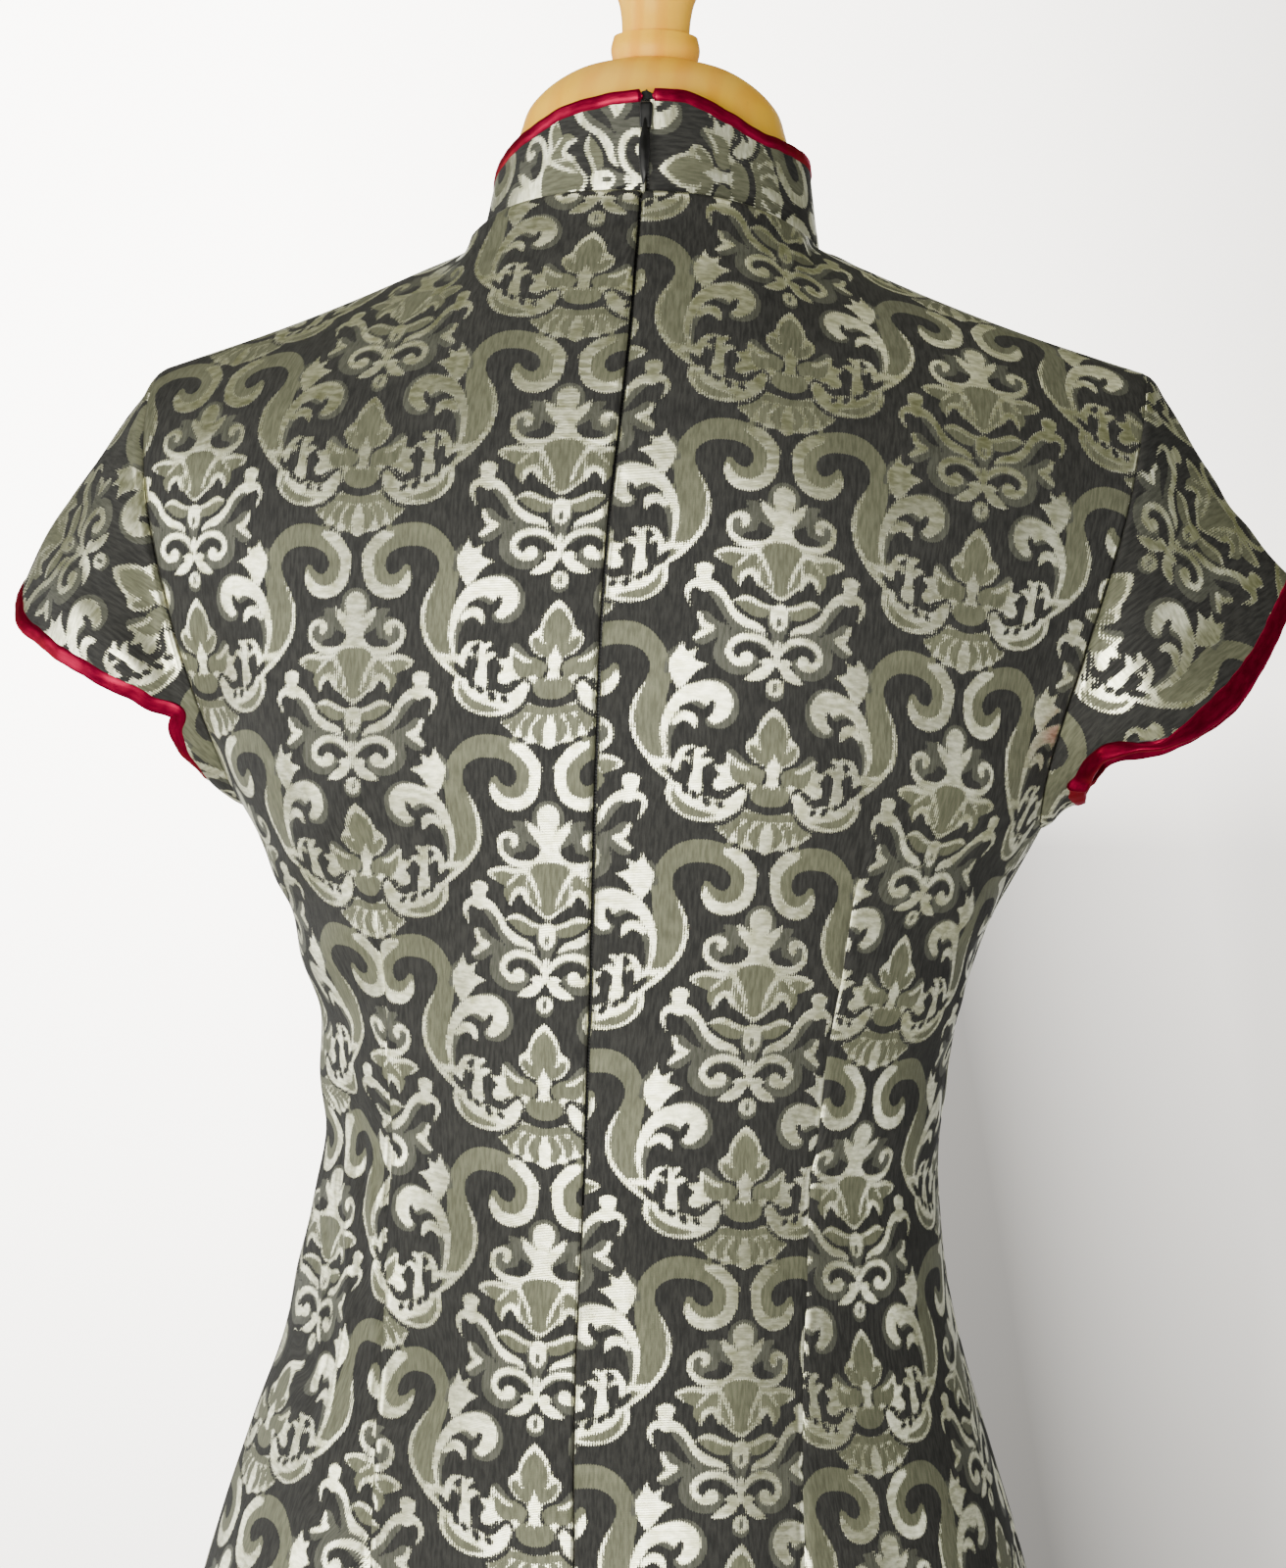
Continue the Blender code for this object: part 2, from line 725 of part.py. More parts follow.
# ---------------------------------------------------------------- the dress form
def torso():
    """The dress's own surface, closed at the neck, the armholes and underneath, and let in by EASE."""
    columns = BACK_COLUMNS
    back = [r for r in body_half(True) if r[0].z > TORSO_LOW_Z - 0.012]
    front = [r for r in body_half(False) if r[0].z > TORSO_LOW_Z - 0.012]
    bm = bmesh.new()
    spots = {}

    def vert(p):
        key = tuple(round(c, 4) for c in p)
        if key not in spots:
            spots[key] = bm.verts.new(p)
        return spots[key]

    def snap(p, is_top):
        if is_top and p.x > NECK_HALF - 1e-4:
            p = Vector((p.x, SHOULDER_Y, p.z))
        return p

    for half in (back, front):
        for side in (1, -1):
            grid = []
            for r, row in enumerate(half):
                top = r == len(half) - 1
                grid.append(
                    [
                        vert(Vector((side * q.x, q.y, q.z)))
                        for q in (snap(p, top) for p in row)
                    ]
                )
            for a, b in zip(grid, grid[1:]):
                for i in range(columns):
                    corners = [a[i], a[i + 1], b[i + 1], b[i]]
                    corners = [
                        c for k, c in enumerate(corners) if c not in corners[:k]
                    ]
                    if len(corners) > 2:
                        try:
                            bm.faces.new(corners)
                        except ValueError:
                            pass
    bmesh.ops.recalc_face_normals(bm, faces=bm.faces)
    edges = [e for e in bm.edges if e.is_boundary]
    loops = []
    left = set(edges)
    while left:
        e = left.pop()
        loop, end = [e.verts[0], e.verts[1]], e.verts[1]
        while True:
            step = next((f for f in end.link_edges if f in left), None)
            if step is None:
                break
            left.discard(step)
            end = step.other_vert(end)
            if end is loop[0]:
                break
            loop.append(end)
        loops.append(loop)
    for loop in loops:
        middle = sum((v.co for v in loop), Vector()) / len(loop)
        if abs(middle.x) > 0.05 or middle.z < 1.0:  # an armhole or the underside
            if abs(middle.x) > 0.05:
                middle = Vector((math.copysign(0.172, middle.x), middle.y, middle.z))
            else:
                middle = Vector((0.0, 0.0, middle.z))
            hub = bm.verts.new(middle)
            for a, b in zip(loop, loop[1:] + loop[:1]):
                bm.faces.new((a, b, hub))
        else:
            rings = [loop]
            for inward, upward in ((0.7, 0.4), (1.0, 1.0)):
                ring = []
                for v in loop:
                    out = Vector((v.co.x, v.co.y - NECK_Y, 0.0)).normalized()
                    goal = (
                        out * (NECK_TOP_R + EASE)
                        + Vector((0.0, NECK_Y, 0.0))
                        + Vector((0, 0, NECK_TOP_Z + EASE))
                    )
                    p = v.co.lerp(goal, inward)
                    p.z = v.co.z + (goal.z - v.co.z) * upward
                    ring.append(bm.verts.new(p))
                rings.append(ring)
            for a, b in zip(rings, rings[1:]):
                for i in range(len(a)):
                    j = (i + 1) % len(a)
                    bm.faces.new((a[i], a[j], b[j], b[i]))
            hub = bm.verts.new(Vector((0.0, NECK_Y, NECK_TOP_Z + EASE)))
            for a, b in zip(rings[-1], rings[-1][1:] + rings[-1][:1]):
                bm.faces.new((a, b, hub))
    bmesh.ops.recalc_face_normals(bm, faces=bm.faces)
    bm.normal_update()
    moved = []
    for v in bm.verts:
        n = Vector(v.normal)
        moved.append(v.co - n * EASE)
    for v, p in zip(bm.verts, moved):
        v.co = p
    # flat underside and flat neck top
    lowest = min(v.co.z for v in bm.verts)
    for v in bm.verts:
        if v.co.z < lowest + 0.008:
            v.co.z = TORSO_LOW_Z
        if v.co.z > NECK_TOP_Z - 0.006:
            v.co.z = NECK_TOP_Z
            out = Vector((v.co.x, v.co.y - NECK_Y, 0.0))
            if out.length > 0.01:
                out = out.normalized() * NECK_TOP_R
                v.co.x, v.co.y = out.x, out.y + NECK_Y
    mesh = bpy.data.meshes.new("form_torso")
    bm.to_mesh(mesh)
    bm.free()
    return keep("form_torso", mesh, JERSEY, 0.9)


torso()


def turned(name, profile, centre_y, colour, steps=TURNED_STEPS, top_first=True):
    """A turned solid: its profile at +X runs down the outside and closes on the axis at both ends."""
    points = list(profile)
    if not top_first:
        points = points[::-1]
    points = [(0.0, points[0][1])] + points + [(0.0, points[-1][1])]
    mesh = bpy.data.meshes.new(name)
    mesh.from_pydata(
        [(r, 0.0, z) for r, z in points],
        [(i, i + 1) for i in range(len(points) - 1)],
        [],
    )
    ob = keep(name, mesh, colour, 0.4)
    ob.location.y = centre_y
    spin = ob.modifiers.new("turn", "SCREW")
    spin.axis = "Z"
    spin.angle = 2 * math.pi
    spin.steps = spin.render_steps = steps
    spin.use_merge_vertices = True
    spin.merge_threshold = 0.0001
    return ob


turned("neck_cap", CAP_PROFILE, NECK_Y, MAPLE, top_first=False)
turned("base", BASE_PROFILE, 0.0, MAPLE, steps=36)
turned(
    "pole",
    ((POLE_R, TORSO_LOW_Z - 0.0003), (POLE_R, 0.0523)),
    0.0,
    MAPLE,
    steps=16,
)
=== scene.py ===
"""Looks of a cheongsam in silk damask on a limbless dress form, seen from the back."""

import math

import bmesh
import bpy
import numpy as np
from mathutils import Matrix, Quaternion, Vector


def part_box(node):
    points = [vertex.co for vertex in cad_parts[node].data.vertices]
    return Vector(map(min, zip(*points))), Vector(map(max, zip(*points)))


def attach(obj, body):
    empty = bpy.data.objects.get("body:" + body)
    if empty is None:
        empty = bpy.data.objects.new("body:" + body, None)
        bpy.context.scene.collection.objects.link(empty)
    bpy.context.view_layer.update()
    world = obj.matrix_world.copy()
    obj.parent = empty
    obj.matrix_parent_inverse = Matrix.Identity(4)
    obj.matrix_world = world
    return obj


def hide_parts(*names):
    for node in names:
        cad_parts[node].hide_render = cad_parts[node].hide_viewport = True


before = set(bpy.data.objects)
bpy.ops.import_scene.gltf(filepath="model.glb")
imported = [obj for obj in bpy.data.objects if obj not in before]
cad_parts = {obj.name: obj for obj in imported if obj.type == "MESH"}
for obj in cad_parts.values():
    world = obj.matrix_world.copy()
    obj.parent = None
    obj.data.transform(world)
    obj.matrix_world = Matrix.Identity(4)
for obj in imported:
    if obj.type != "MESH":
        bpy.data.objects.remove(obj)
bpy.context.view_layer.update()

# ---------------------------------------------------------------- camera
VIEW_CENTRE = Vector((0.0, 0.0, 1.19))
VIEW_DISTANCE = 1.40
VIEW_AZIMUTH = math.radians(189.0)
VIEW_ROLL = math.radians(-1.4)
away = Vector((math.sin(VIEW_AZIMUTH), -math.cos(VIEW_AZIMUTH), 0.0))
lens = bpy.data.cameras.new("camera")
lens.sensor_width = 36.0
lens.lens = 80.775
lens.shift_x = 0.0045
lens.clip_end = 50.0
camera = bpy.data.objects.new("camera", lens)
camera.location = VIEW_CENTRE + away * VIEW_DISTANCE
camera.rotation_mode = "QUATERNION"
camera.rotation_quaternion = Quaternion(-away, VIEW_ROLL) @ (-away).to_track_quat("-Z", "Y")
bpy.context.scene.collection.objects.link(camera)
bpy.context.scene.camera = camera

# ---------------------------------------------------------------- the dress's sizes, as in the CAD
SEAM = 0.0003
ZIP_SEAM = 0.0006
CLOTH = 0.0015
EASE = 0.0080
HEM_Z = 0.46
SLIT_Z = 0.71
SLIT_HALF = 0.003
UNDERARM_Z = 1.176
NECK_BACK_Z = 1.4165
NECK_SIDE_Z = 1.4025
NECK_FRONT_Z = 1.345
NECK_HALF = 0.0695
NECK_BACK_Y = 0.060
NECK_FRONT_Y = -0.066
SHOULDER_HALF = 0.1975
SHOULDER_Z = 1.3546
SHOULDER_SAG = 0.003
SHOULDER_Y = -0.004
ZIP_LOW_Z = 1.033
RELAX = 5
COLUMNS = 10
LOW_ROWS = 18
HIGH_ROWS = 14
NECK_SHARE = 0.4
ARM_BACK_Y = 0.046
ARM_FRONT_Y = -0.060
ARM_TURN = 0.42
ROUND_NECK = 3.5
ROUND_TIP = 4.4
BUST = dict(x=0.083, z=1.200, wide=0.052, high=0.058, out=0.016)
BLADE = dict(x=0.085, z=1.290, wide=0.055, high=0.060, out=0.003)
BODY = (
    # z, half, back, front, power
    (0.46, 0.160, 0.090, -0.098, 2.30),
    (0.60, 0.167, 0.096, -0.102, 2.30),
    (0.72, 0.1735, 0.104, -0.106, 2.30),
    (0.80, 0.176, 0.110, -0.108, 2.28),
    (0.845, 0.1715, 0.109, -0.109, 2.26),
    (0.88, 0.1630, 0.105, -0.110, 2.25),
    (0.92, 0.1505, 0.098, -0.110, 2.24),
    (0.96, 0.1370, 0.089, -0.109, 2.22),
    (1.00, 0.1270, 0.080, -0.107, 2.20),
    (1.046, 0.1228, 0.073, -0.105, 2.20),
    (1.09, 0.1270, 0.077, -0.108, 2.22),
    (1.13, 0.1370, 0.084, -0.113, 2.26),
    (1.155, 0.1475, 0.089, -0.118, 2.30),
    (UNDERARM_Z, 0.1600, 0.094, -0.122, 2.34),
)
CHEST = (
    # share, back, front, armhole
    (0.00, 0.094, -0.122, 0.1600),
    (0.12, 0.0975, -0.124, 0.1640),
    (0.21, 0.100, -0.123, 0.1685),
    (0.41, 0.102, -0.116, 0.1795),
    (0.61, 0.101, -0.106, 0.1895),
    (0.75, 0.099, -0.099, 0.1945),
    (0.90, 0.097, -0.094, 0.1975),
    (1.00, 0.096, -0.092, SHOULDER_HALF),
)
SLEEVE_HEM = (
    # share of the way round, half width, depth behind the shoulder line, height, lift
    (-0.10, 0.1755, -0.030, 1.1945, 0.0000),
    (0.00, 0.1735, 0.000, 1.1860, 0.0000),
    (0.10, 0.1755, 0.030, 1.1945, 0.0000),
    (0.20, 0.1850, 0.048, 1.2115, 0.0045),
    (0.30, 0.2070, 0.055, 1.2200, 0.0080),
    (0.40, 0.2345, 0.040, 1.2370, 0.0060),
    (0.50, 0.2555, 0.000, 1.2715, -0.0040),
    (0.60, 0.2345, -0.040, 1.2370, 0.0060),
)
BACK_SEAM = (
    # z, x
    (0.46, 0.0000),
    (0.80, -0.0015),
    (0.88, -0.0010),
    (0.96, 0.0035),
    (1.046, 0.0045),
    (1.12, 0.0025),
    (1.20, 0.0000),
    (1.257, -0.0015),
    (1.287, -0.0030),
    (1.329, -0.0060),
    (1.367, -0.0075),
    (1.4165, -0.0070),
    (1.46, -0.0075),
)
SLEEVE_MIDDLE_Y = -0.006
SLEEVE_RING = 28
SLEEVE_ROWS = 4
SLEEVE_START = 0.0003
SLEEVE_PUFF = {1: 0.0040, -1: -0.0030}
BINDING_R = 0.0019
BINDING_GAP = 0.0003
COLLAR_COLUMNS = 14
COLLAR_ROWS = 3
COLLAR_RISE = -0.0004
COLLAR_TOP_HALF = 0.0632
COLLAR_BASE_HALF = 0.0688
COLLAR_TOP_BACK_Y = 0.0600
COLLAR_TOP_FRONT_Y = -0.0605
COLLAR_TOP = (
    # degrees, left height, right height
    (0, 1.4500, 1.4503),
    (13, 1.4482, 1.4512),
    (25, 1.4452, 1.4495),
    (36, 1.4410, 1.4440),
    (47, 1.4370, 1.4397),
    (60, 1.4325, 1.4376),
    (84, 1.4255, 1.4356),
    (100, 1.4200, 1.4330),
    (135, 1.4020, 1.4100),
    (180, 1.3840, 1.3860),
)
COLLAR_CORNER = 0.22
TAPE_WIDE = 0.020
TAPE_DEPTH = 0.0042
TORSO_LOW_Z = 0.80
NECK_Y = -0.004
NECK_TOP_R = 0.0520
NECK_TOP_Z = 1.4340
CAP_PROFILE = (
    # r, z
    (0.0535, 1.4345),
    (0.0535, 1.4460),
    (0.0525, 1.4495),
    (0.0495, 1.4577),
    (0.0420, 1.4660),
    (0.0315, 1.4727),
    (0.0190, 1.4766),
    (0.0168, 1.4772),
    (0.0178, 1.4825),
    (0.0168, 1.4876),
    (0.0134, 1.4882),
    (0.0140, 1.4960),
    (0.0157, 1.5030),
    (0.0205, 1.5120),
    (0.0235, 1.5240),
    (0.0225, 1.5360),
    (0.0175, 1.5460),
    (0.0090, 1.5515),
)
POLE_R = 0.016
BASE_PROFILE = (
    # r, z
    (0.0240, 0.0520),
    (0.0300, 0.0500),
    (0.0380, 0.0400),
    (0.0800, 0.0330),
    (0.1400, 0.0280),
    (0.1650, 0.0240),
    (0.1760, 0.0170),
    (0.1800, 0.0090),
    (0.1780, 0.0000),
)


# ---------------------------------------------------------------- the body's surface, as in the CAD
def smooth(x):
    x = min(1.0, max(0.0, x))
    return x * x * (3.0 - 2.0 * x)


def read(table, x, column):
    rows = table
    if x <= rows[0][0]:
        return rows[0][column]
    if x >= rows[-1][0]:
        return rows[-1][column]
    i = max(k for k in range(len(rows) - 1) if rows[k][0] <= x)

    def slope(k):
        lo, hi = max(k - 1, 0), min(k + 1, len(rows) - 1)
        return (rows[hi][column] - rows[lo][column]) / (rows[hi][0] - rows[lo][0])

    x0, x1 = rows[i][0], rows[i + 1][0]
    p0, p1 = rows[i][column], rows[i + 1][column]
    h = x1 - x0
    t = (x - x0) / h
    return (
        (2 * t**3 - 3 * t**2 + 1) * p0
        + (t**3 - 2 * t**2 + t) * h * slope(i)
        + (-2 * t**3 + 3 * t**2) * p1
        + (t**3 - t**2) * h * slope(i + 1)
    )


def mound(x, z, at):
    return at["out"] * math.exp(
        -(((abs(x) - at["x"]) / at["wide"]) ** 2) - ((z - at["z"]) / at["high"]) ** 2
    )


def swell(back, x, z):
    return mound(x, z, BLADE) if back else -mound(x, z, BUST)


def quarter(z, back, steps=48):
    half, power = read(BODY, z, 1), read(BODY, z, 4)
    deep = read(BODY, z, 2 if back else 3)
    side = 0.4 * (read(BODY, z, 2) + read(BODY, z, 3))
    points, run = [], [0.0]
    for i in range(steps + 1):
        a = 0.5 * math.pi * i / steps
        x = half * math.sin(a) ** (2 / power)
        y = side + (deep - side) * max(math.cos(a), 0.0) ** (2 / power)
        points.append((x, y + swell(back, x, z) * max(math.cos(a), 0.0) ** 0.5))
        if i:
            run.append(run[-1] + math.dist(points[-1], points[-2]))
    return points, run


def on_quarter(z, back, length):
    points, run = quarter(z, back)
    goal = length if length >= 0 else run[-1] + length
    goal = min(max(goal, 0.0), run[-1])
    for i in range(1, len(run)):
        if run[i] >= goal:
            f = (goal - run[i - 1]) / (run[i] - run[i - 1])
            return tuple(points[i - 1][k] * (1 - f) + points[i][k] * f for k in range(2))
    return points[-1]


def top_edge(u, back):
    if u < NECK_SHARE:
        a = 0.5 * math.pi * u / NECK_SHARE
        x = NECK_HALF * math.sin(a)
        deep = NECK_BACK_Y if back else NECK_FRONT_Y
        y = SHOULDER_Y * math.sin(a) + deep * math.cos(a)
        low = NECK_BACK_Z if back else NECK_FRONT_Z
        z = low + (NECK_SIDE_Z - low) * math.sin(a) ** (3.5 if back else 2.0)
        return x, y, z
    v = (u - NECK_SHARE) / (1.0 - NECK_SHARE)
    x = NECK_HALF + (SHOULDER_HALF - NECK_HALF) * v
    z = NECK_SIDE_Z + (SHOULDER_Z - NECK_SIDE_Z) * v - SHOULDER_SAG * math.sin(math.pi * v)
    return x, SHOULDER_Y, z


def low_point(u, z, back):
    length = quarter(z, back)[1][-1]
    return Vector((*on_quarter(z, back, length * u), z))


def high_point(u, share, back):
    tx, ty, tz = top_edge(u, back)
    z = UNDERARM_Z + share * (tz - UNDERARM_Z)
    half = read(CHEST, share, 3)
    low = low_point(u, UNDERARM_Z, back)
    blend = smooth(share * 1.15)
    g = (1 - blend) * (low.x / read(BODY, UNDERARM_Z, 1)) + blend * (tx / SHOULDER_HALF)
    x = half * g
    deep = read(CHEST, share, 1 if back else 2)
    rest = 0.4 * (read(BODY, UNDERARM_Z, 2) + read(BODY, UNDERARM_Z, 3))
    bend = min(share / ARM_TURN, 1.0)
    arm = rest + ((ARM_BACK_Y if back else ARM_FRONT_Y) - rest) * math.sqrt(
        max(1.0 - (1.0 - bend) ** 2, 0.0)
    )
    power = read(BODY, UNDERARM_Z, 4)
    flat = 1.0 / power + (0.85 - 1.0 / power) * smooth(share / 0.30)
    across = max(1.0 - min(g, 1.0) ** power, 0.0) ** flat
    y = arm + (deep - arm) * across
    y += swell(back, x, z) * max(across, 0.0) ** 0.5 * (1 - smooth((share - 0.6) / 0.4))
    turn = ROUND_NECK + (ROUND_TIP - ROUND_NECK) * smooth(u / NECK_SHARE)
    over = math.sqrt(max(1.0 - share**turn, 0.0))
    return Vector((x, ty + (y - ty) * over, z))


def low_heights():
    rows = []
    for i in range(LOW_ROWS + 1):
        r = i / LOW_ROWS
        rows.append(HEM_Z + (UNDERARM_Z - HEM_Z) * (r + 0.11 * math.sin(math.pi * r) ** 2))
    return rows


def high_shares():
    return [0.5 * (1 - math.cos(math.pi * i / HIGH_ROWS)) for i in range(1, HIGH_ROWS + 1)]


def relax(rows, rounds, first):
    for _ in range(rounds):
        old = [[p.copy() for p in row] for row in rows]
        for r in range(first, len(rows) - 2):
            for i in range(len(rows[r]) - 1):
                a = old[r][i]
                right = old[r][i + 1]
                left = old[r][i - 1] if i else Vector((-right.x, right.y, right.z))
                mean = (left + right + old[r - 1][i] + old[r + 1][i]) / 4
                p = a.lerp(mean, 0.5)
                if i == 0:
                    p.x = a.x
                rows[r][i] = p


HALVES = {}


def body_half(back):
    if back not in HALVES:
        n = COLUMNS
        rows = [[low_point(i / n, z, back) for i in range(n + 1)] for z in low_heights()]
        rows += [[high_point(i / n, s, back) for i in range(n + 1)] for s in high_shares()]
        relax(rows, RELAX, len(rows) - HIGH_ROWS - 4)
        HALVES[back] = rows
    return HALVES[back]


def on_row(row, u):
    if u < 0:
        p = on_row(row, -u)
        return Vector((-p.x, p.y, p.z))
    n = len(row) - 1
    i = min(int(u * n), n - 1)
    t = u * n - i
    p1, p2 = row[i], row[i + 1]
    p0 = row[i - 1] if i else Vector((-p2.x, p2.y, p2.z))
    p3 = row[i + 2] if i + 2 <= n else p2 + (p2 - p1)
    return 0.5 * (
        2 * p1
        + (p2 - p0) * t
        + (2 * p0 - 5 * p1 + 4 * p2 - p3) * t * t
        + (3 * p1 - p0 - 3 * p2 + p3) * t**3
    )


def half_panel(back, side):
    """One side of a panel in +X with its seam gaps, hem to shoulder."""
    panel = []
    rows = body_half(back)
    for r, row in enumerate(rows):
        z = row[0].z
        low, top = r <= LOW_ROWS, r == len(rows) - 1
        rate = (on_row(row, 0.05) - row[0]).length / 0.05
        start = 0.0
        if back:
            gap = ZIP_SEAM if z > ZIP_LOW_Z else SEAM
            start = (side * read(BACK_SEAM, z, 1) + gap) / rate
        length = sum((q - p).length for p, q in zip(row, row[1:]))
        end = (SLIT_HALF if z < SLIT_Z else SEAM) / length if low else 0.0
        new = []
        for i in range(COLUMNS + 1):
            u = i / COLUMNS
            p = on_row(row, u * (1 - end) + start * max(0.0, 1 - u / NECK_SHARE))
            if top and u >= NECK_SHARE:
                p.y = SHOULDER_Y + (SEAM if back else -SEAM)
            new.append(p)
        panel.append(new)
    return panel


# ---------------------------------------------------------------- grids of points
def array(rows):
    return np.array([[tuple(p) for p in row] for row in rows], float)


def spline_weights(n, at):
    """Catmull-Rom: for each place along n + 2 padded points, the first point it uses and its four weights."""
    i = np.clip(np.floor(at).astype(int), 0, n - 2)
    t = (at - i)[:, None]
    w = 0.5 * np.concatenate(
        [-t + 2 * t**2 - t**3, 2 - 5 * t**2 + 3 * t**3, t + 4 * t**2 - 3 * t**3, -(t**2) + t**3],
        1,
    )
    return i, w


def finer(grid, rows_at, columns_at, before=None, after=None, ring=False):
    """A grid sampled at fractional rows and columns; before and after are the columns past its two edges."""
    grid = np.asarray(grid, float)
    if before is None:
        before = grid[:, -2] if ring else 2 * grid[:, 0] - grid[:, 1]
    if after is None:
        after = grid[:, 1] if ring else 2 * grid[:, -1] - grid[:, -2]
    wide = np.concatenate([before[:, None], grid, after[:, None]], 1)
    tall = np.concatenate([(2 * wide[0] - wide[1])[None], wide, (2 * wide[-1] - wide[-2])[None]], 0)
    i, w = spline_weights(grid.shape[0], np.asarray(rows_at, float))
    part = sum(tall[i + k] * w[:, k, None, None] for k in range(4))
    columns_at = np.asarray(columns_at, float)
    if columns_at.ndim == 1:
        j, w = spline_weights(grid.shape[1], columns_at)
        return sum(part[:, j + k] * w[None, :, k, None] for k in range(4))
    out = np.empty((len(part), columns_at.shape[1], grid.shape[2]))
    for r in range(len(part)):
        j, w = spline_weights(grid.shape[1], columns_at[r])
        out[r] = sum(part[r, j + k] * w[:, k, None] for k in range(4))
    return out


def grid_normals(p, outward):
    """Unit normals of a grid, on the side that outward points to."""
    du = np.gradient(p, axis=1)
    dv = np.gradient(p, axis=0)
    n = np.cross(du, dv)
    n /= np.maximum(np.linalg.norm(n, axis=2, keepdims=True), 1e-12)
    if (n * outward(p)).sum() < 0:
        n = -n
    return n


def from_axis(p):
    out = p.copy()
    out[..., 2] = 0
    return out


def lengths(p, axis):
    """Running length along the rows (axis 1) or the columns (axis 0) of a grid."""
    step = np.linalg.norm(np.diff(p, axis=axis), axis=2)
    pad = [(0, 0), (0, 0)]
    pad[axis] = (1, 0)
    return np.pad(np.cumsum(step, axis=axis), pad)


def flatten(points, start, free, rounds=60):
    """Lay a grid of cloth flat: its threads keep their lengths as well as they can."""
    rows, columns = points.shape[:2]
    index = np.arange(rows * columns).reshape(rows, columns)
    pairs = np.concatenate(
        [
            np.stack([index[:, :-1].ravel(), index[:, 1:].ravel()], 1),
            np.stack([index[:-1].ravel(), index[1:].ravel()], 1),
            np.stack([index[:-1, :-1].ravel(), index[1:, 1:].ravel()], 1),
            np.stack([index[:-1, 1:].ravel(), index[1:, :-1].ravel()], 1),
        ]
    )
    flat3 = points.reshape(-1, 3)
    rest = np.linalg.norm(flat3[pairs[:, 0]] - flat3[pairs[:, 1]], axis=1)
    x = start.reshape(-1, 2).copy()
    hold = np.where(free.ravel(), 1e-5, 1e4)
    weight = 1.0 / np.maximum(rest, 1e-4)
    system = np.diag(hold)
    np.add.at(system, (pairs[:, 0], pairs[:, 0]), weight)
    np.add.at(system, (pairs[:, 1], pairs[:, 1]), weight)
    np.add.at(system, (pairs[:, 0], pairs[:, 1]), -weight)
    np.add.at(system, (pairs[:, 1], pairs[:, 0]), -weight)
    solve = np.linalg.inv(system)
    first = x.copy()
    for _ in range(rounds):
        d = x[pairs[:, 0]] - x[pairs[:, 1]]
        d *= (weight * rest / np.maximum(np.linalg.norm(d, axis=1), 1e-9))[:, None]
        b = first * hold[:, None]
        np.add.at(b, pairs[:, 0], d)
        np.add.at(b, pairs[:, 1], -d)
        x = solve @ b
    return x.reshape(rows, columns, 2)


# ---------------------------------------------------------------- the damask's repeat, charted in mm
REPEAT_U = 80.4  # between two mirror lines
REPEAT_V = 158.0  # from one palmette to the next on its line; the next line is half a repeat lower
CHART_STEP = 0.4
GREY, MID, LIGHT = 1, 2, 3
